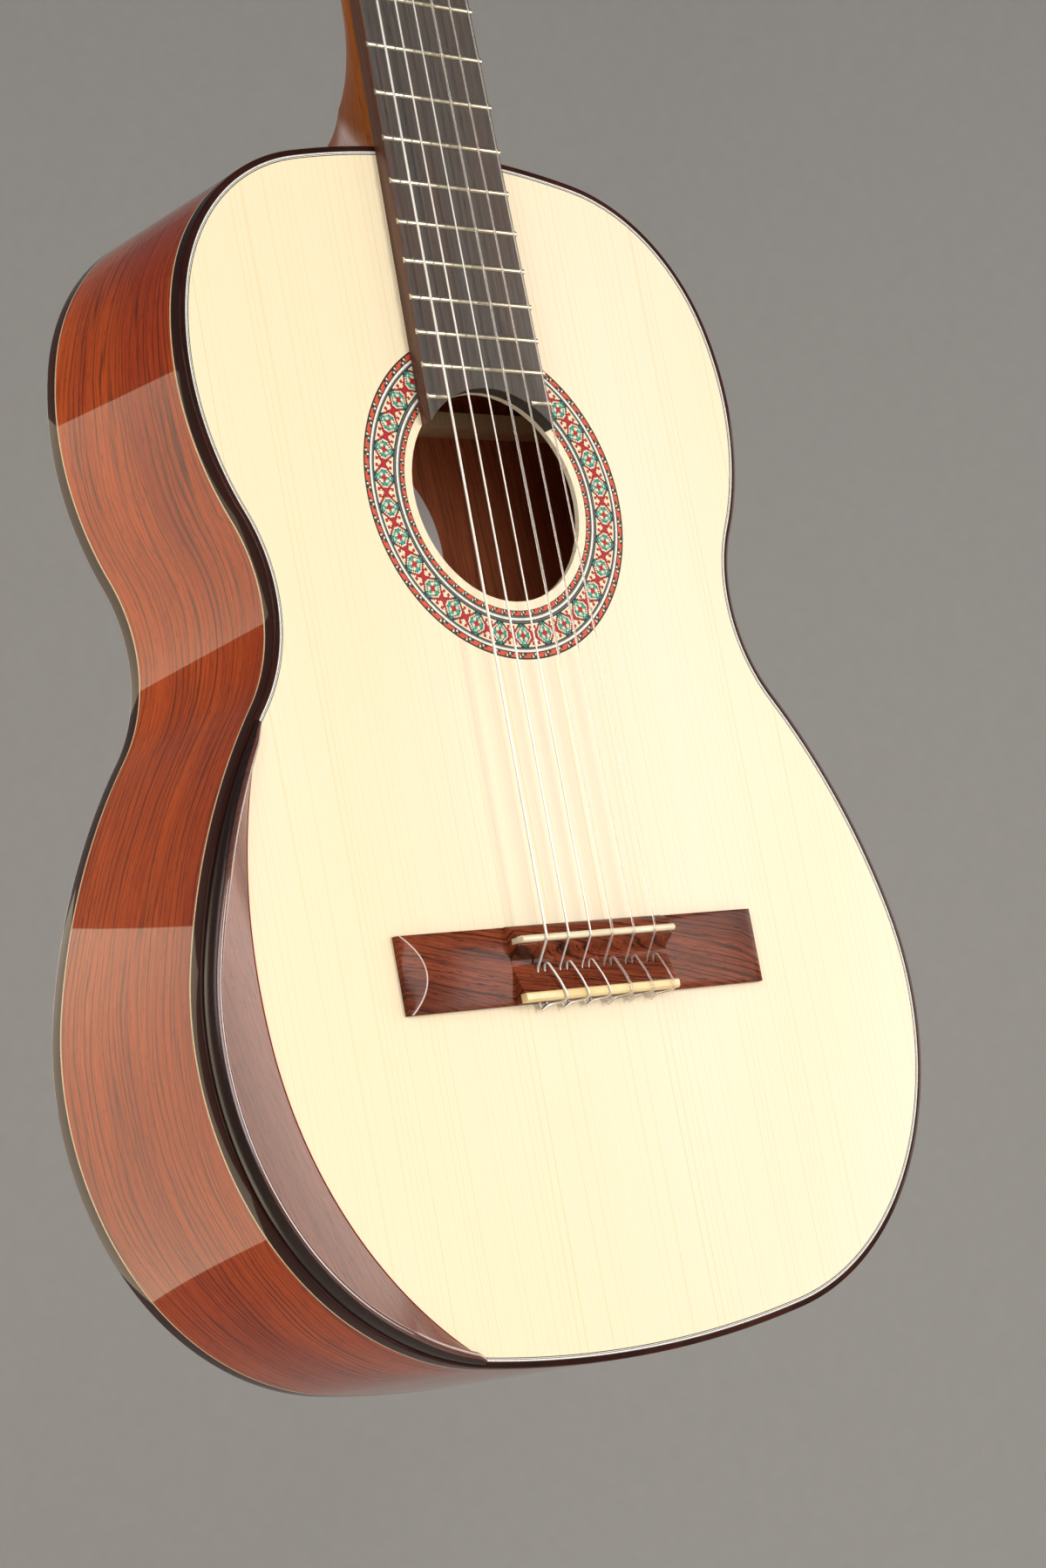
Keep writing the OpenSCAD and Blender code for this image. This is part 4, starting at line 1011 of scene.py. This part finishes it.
def make_string(n):
    """A string from its roller to the tie block, where it loops back over itself, and its coil."""
    g = GAUGES[n - 1] / 2
    xn, x = string_x(n, NUT_SPAN), string_x(n, SADDLE_SPAN)
    x2, front, high, low, top = x + 3.6, 17.0, 4.7, 2.3, 9.0
    w = BRIDGE_WIDTH
    behind_it = w + g + 0.25
    reach, turn = roller_start(n)

    def at(px, back, height):
        return (px, -height, BRIDGE_FRONT - back)

    points = [
        on_roller(n, WINDING_X[n - 1], reach, turn),
        (xn, -NUT_HEIGHT - g - 0.02, 2.0), (xn, -NUT_HEIGHT - g - 0.02, 0.0),
        at(x, 5.8, SADDLE_HEIGHT + g + 0.02), at(x, 6.9, SADDLE_HEIGHT + g - 0.1),
        at(x, front - 0.4, high + 0.45), at(x, front + 0.8, high - 0.1), at(x, w, low),
        at(x + 0.25, w + 1.1, low - 0.2), at(x + 1.1, w + 1.9, low - 0.3),
        at(x2 - 1.1, w + 1.9, low - 0.3), at(x2 - 0.25, w + 1.1, low - 0.2), at(x2, w, low),
        at(x2, front + 0.8, high - 0.1), at(x2, front - 1, high + 0.4),
        at(x2 + 0.1, front - 1.8, high + 1.2), at(x2 + 0.4, front - 1.3, high + 2.3),
        at(x2 + 1.2, front + 1.6, high + 3.3), at(x2 + 2.6, front + 5.5, high + 4.3),
        at(x2 + 4, w - 2.8, top + g + 0.25), at(x2 + 4.5, w - 0.4, top + g + 0.1),
        at(x2 + 4.5, behind_it, top - 0.7), at(x2 + 3.7, behind_it + 0.1, top - 3.2),
        at(x2 + 1.6, behind_it + 0.2, top - 4.8), at(x2 - 1, behind_it + 0.5, top - 5.1),
        at(x2 - 3.4, behind_it + 2.4, top - 6.4),
    ]
    mat, slot = ("nylon", "nylon") if n < 4 else ("wound", "wound_string")
    tube("string_%d_run" % n, points, g, mat, "root", ("string_%d" % n,))
    side = 1 if n < 4 else -1
    coil, steps_a_turn = [], 30
    for k in range(100):
        a = turn - math.radians(360 // steps_a_turn * k)
        shift = side * (2 * g + 0.04) * k / steps_a_turn
        coil.append(on_roller(n, WINDING_X[n - 1] - shift, reach, a))
    end = Vector(coil[-1]) + (Vector(coil[-1]) - Vector(coil[-2])).normalized() * 3.2
    coil.append(tuple(end))
    tube("string_%d_winding" % n, coil, g, mat, "winder_%d" % n, corner=0.1)


# ---------------------------------------------------------------- head and machines
def superellipse(t, p):
    c, s = math.cos(t), math.sin(t)
    return (math.copysign(abs(c) ** (2 / p), c), math.copysign(abs(s) ** (2 / p), s))


def make_button(n):
    """A flattened oval grip with a waisted collar on the worm's shaft."""
    side = 1 if n < 4 else -1
    mid_w, half_w, half_t, start, length = roller_w(n) + WORM_OFFSET, 8.1, 4.6, -13.5, 15.0
    lobes, turns, collar_turns = 26, 40, 36
    rings = []
    grip = (length - 3.0) / 2
    centre = ROLLER_LEVEL + start - 3.0 - grip
    for k in range(lobes + 1):
        lift, spread = superellipse(math.pi * k / lobes, 2.5)
        ring = []
        for j in range(turns):
            a, b = superellipse(2 * math.pi * j / turns, 2.3)
            thick = half_t * b * max(spread, 0.02) * (1 - 0.12 * lift ** 2)
            ring.append(head_point(side * GEAR_PLANE + thick,
                                   mid_w + half_w * a * max(spread, 0.02), centre + grip * lift))
        rings.append(ring)
    verts, faces, _ = loft(rings)
    build("button_%d_grip" % n, verts, faces, ["pearl"], "knob_%d" % n,
          ("button_%d" % n,), smooth=60)
    profile = [(1.62, 0.0), (3.0, 0.0), (3.2, -0.3), (3.1, -0.8), (2.5, -1.6), (2.35, -2.4),
               (2.7, -3.2), (3.1, -3.7), (3.1, -4.2), (1.62, -4.2)]
    rings = []
    for r, dn in profile:
        ring = []
        for j in range(collar_turns):
            a = 2 * math.pi * j / collar_turns
            ring.append(head_point(side * GEAR_PLANE + r * math.cos(a), mid_w + r * math.sin(a),
                                   ROLLER_LEVEL + start + dn))
        rings.append(ring)
    verts, faces, _ = loft(rings, closed=True)
    build("button_%d_collar" % n, verts, faces, ["gilt"], "knob_%d" % n, smooth=40)


def make_head():
    carry("headstock", "cedar")
    carry("head_veneer", "veneer")
    carry("heel_cap", "binding")
    for side in ("bass", "treble"):
        carry("plate_" + side, "gilt")
    carry("plate_screws", "steel")
    for n in range(1, 7):
        carry("worm_%d" % n, "steel")
        carry("gear_%d" % n, "gilt")
        carry("roller_%d" % n, "roller")
        make_button(n)


def make_bridge():
    """The bridge, its arrises eased, with a painted highlight: a pale strip along the curved edge
    of its bass end.
    """
    obj = soften("bridge", "bridge", "root", 0.35)
    # A narrow pale bevel along the curved bass-end edge: a painted highlight.
    obj.data.materials.append(MATS["painted_highlight_edge"])
    with editing(obj.data) as bm:
        highlight_edges = [e for e in bm.edges if len(e.link_faces) == 2
                and 0.07 < e.calc_face_angle(0) < 0.3
                and all(v.co.x < -0.07 for v in e.verts)
                and all(f.normal.y < -0.9 for f in e.link_faces)]
        bmesh.ops.bevel(bm, geom=highlight_edges, offset=0.3 * MM, segments=1, affect="EDGES", material=1,
                        clamp_overlap=True)


def make_fittings():
    carry("soundboard", "spruce_top")
    carry("linings", "cedar_in")
    carry("tail_block", "cedar_in")
    carry("soundboard_braces", "spruce")
    carry("back_braces", "spruce")
    carry("label", "paper")
    soften("nut", "bone", "root", 0.25)
    soften("saddle", "bone", "root", 0.2)
    soften("tie_block_bone", "bone_strip", "root", 0.2)
    make_bridge()


add_camera()
add_stage()
add_lights()
make_ribs()
make_bindings()
make_purfling()
make_back()
make_rosette()
make_neck()
make_fingerboard()
make_frets()
make_armrest()
for string_number in range(1, 7):
    make_string(string_number)
make_head()
make_fittings()
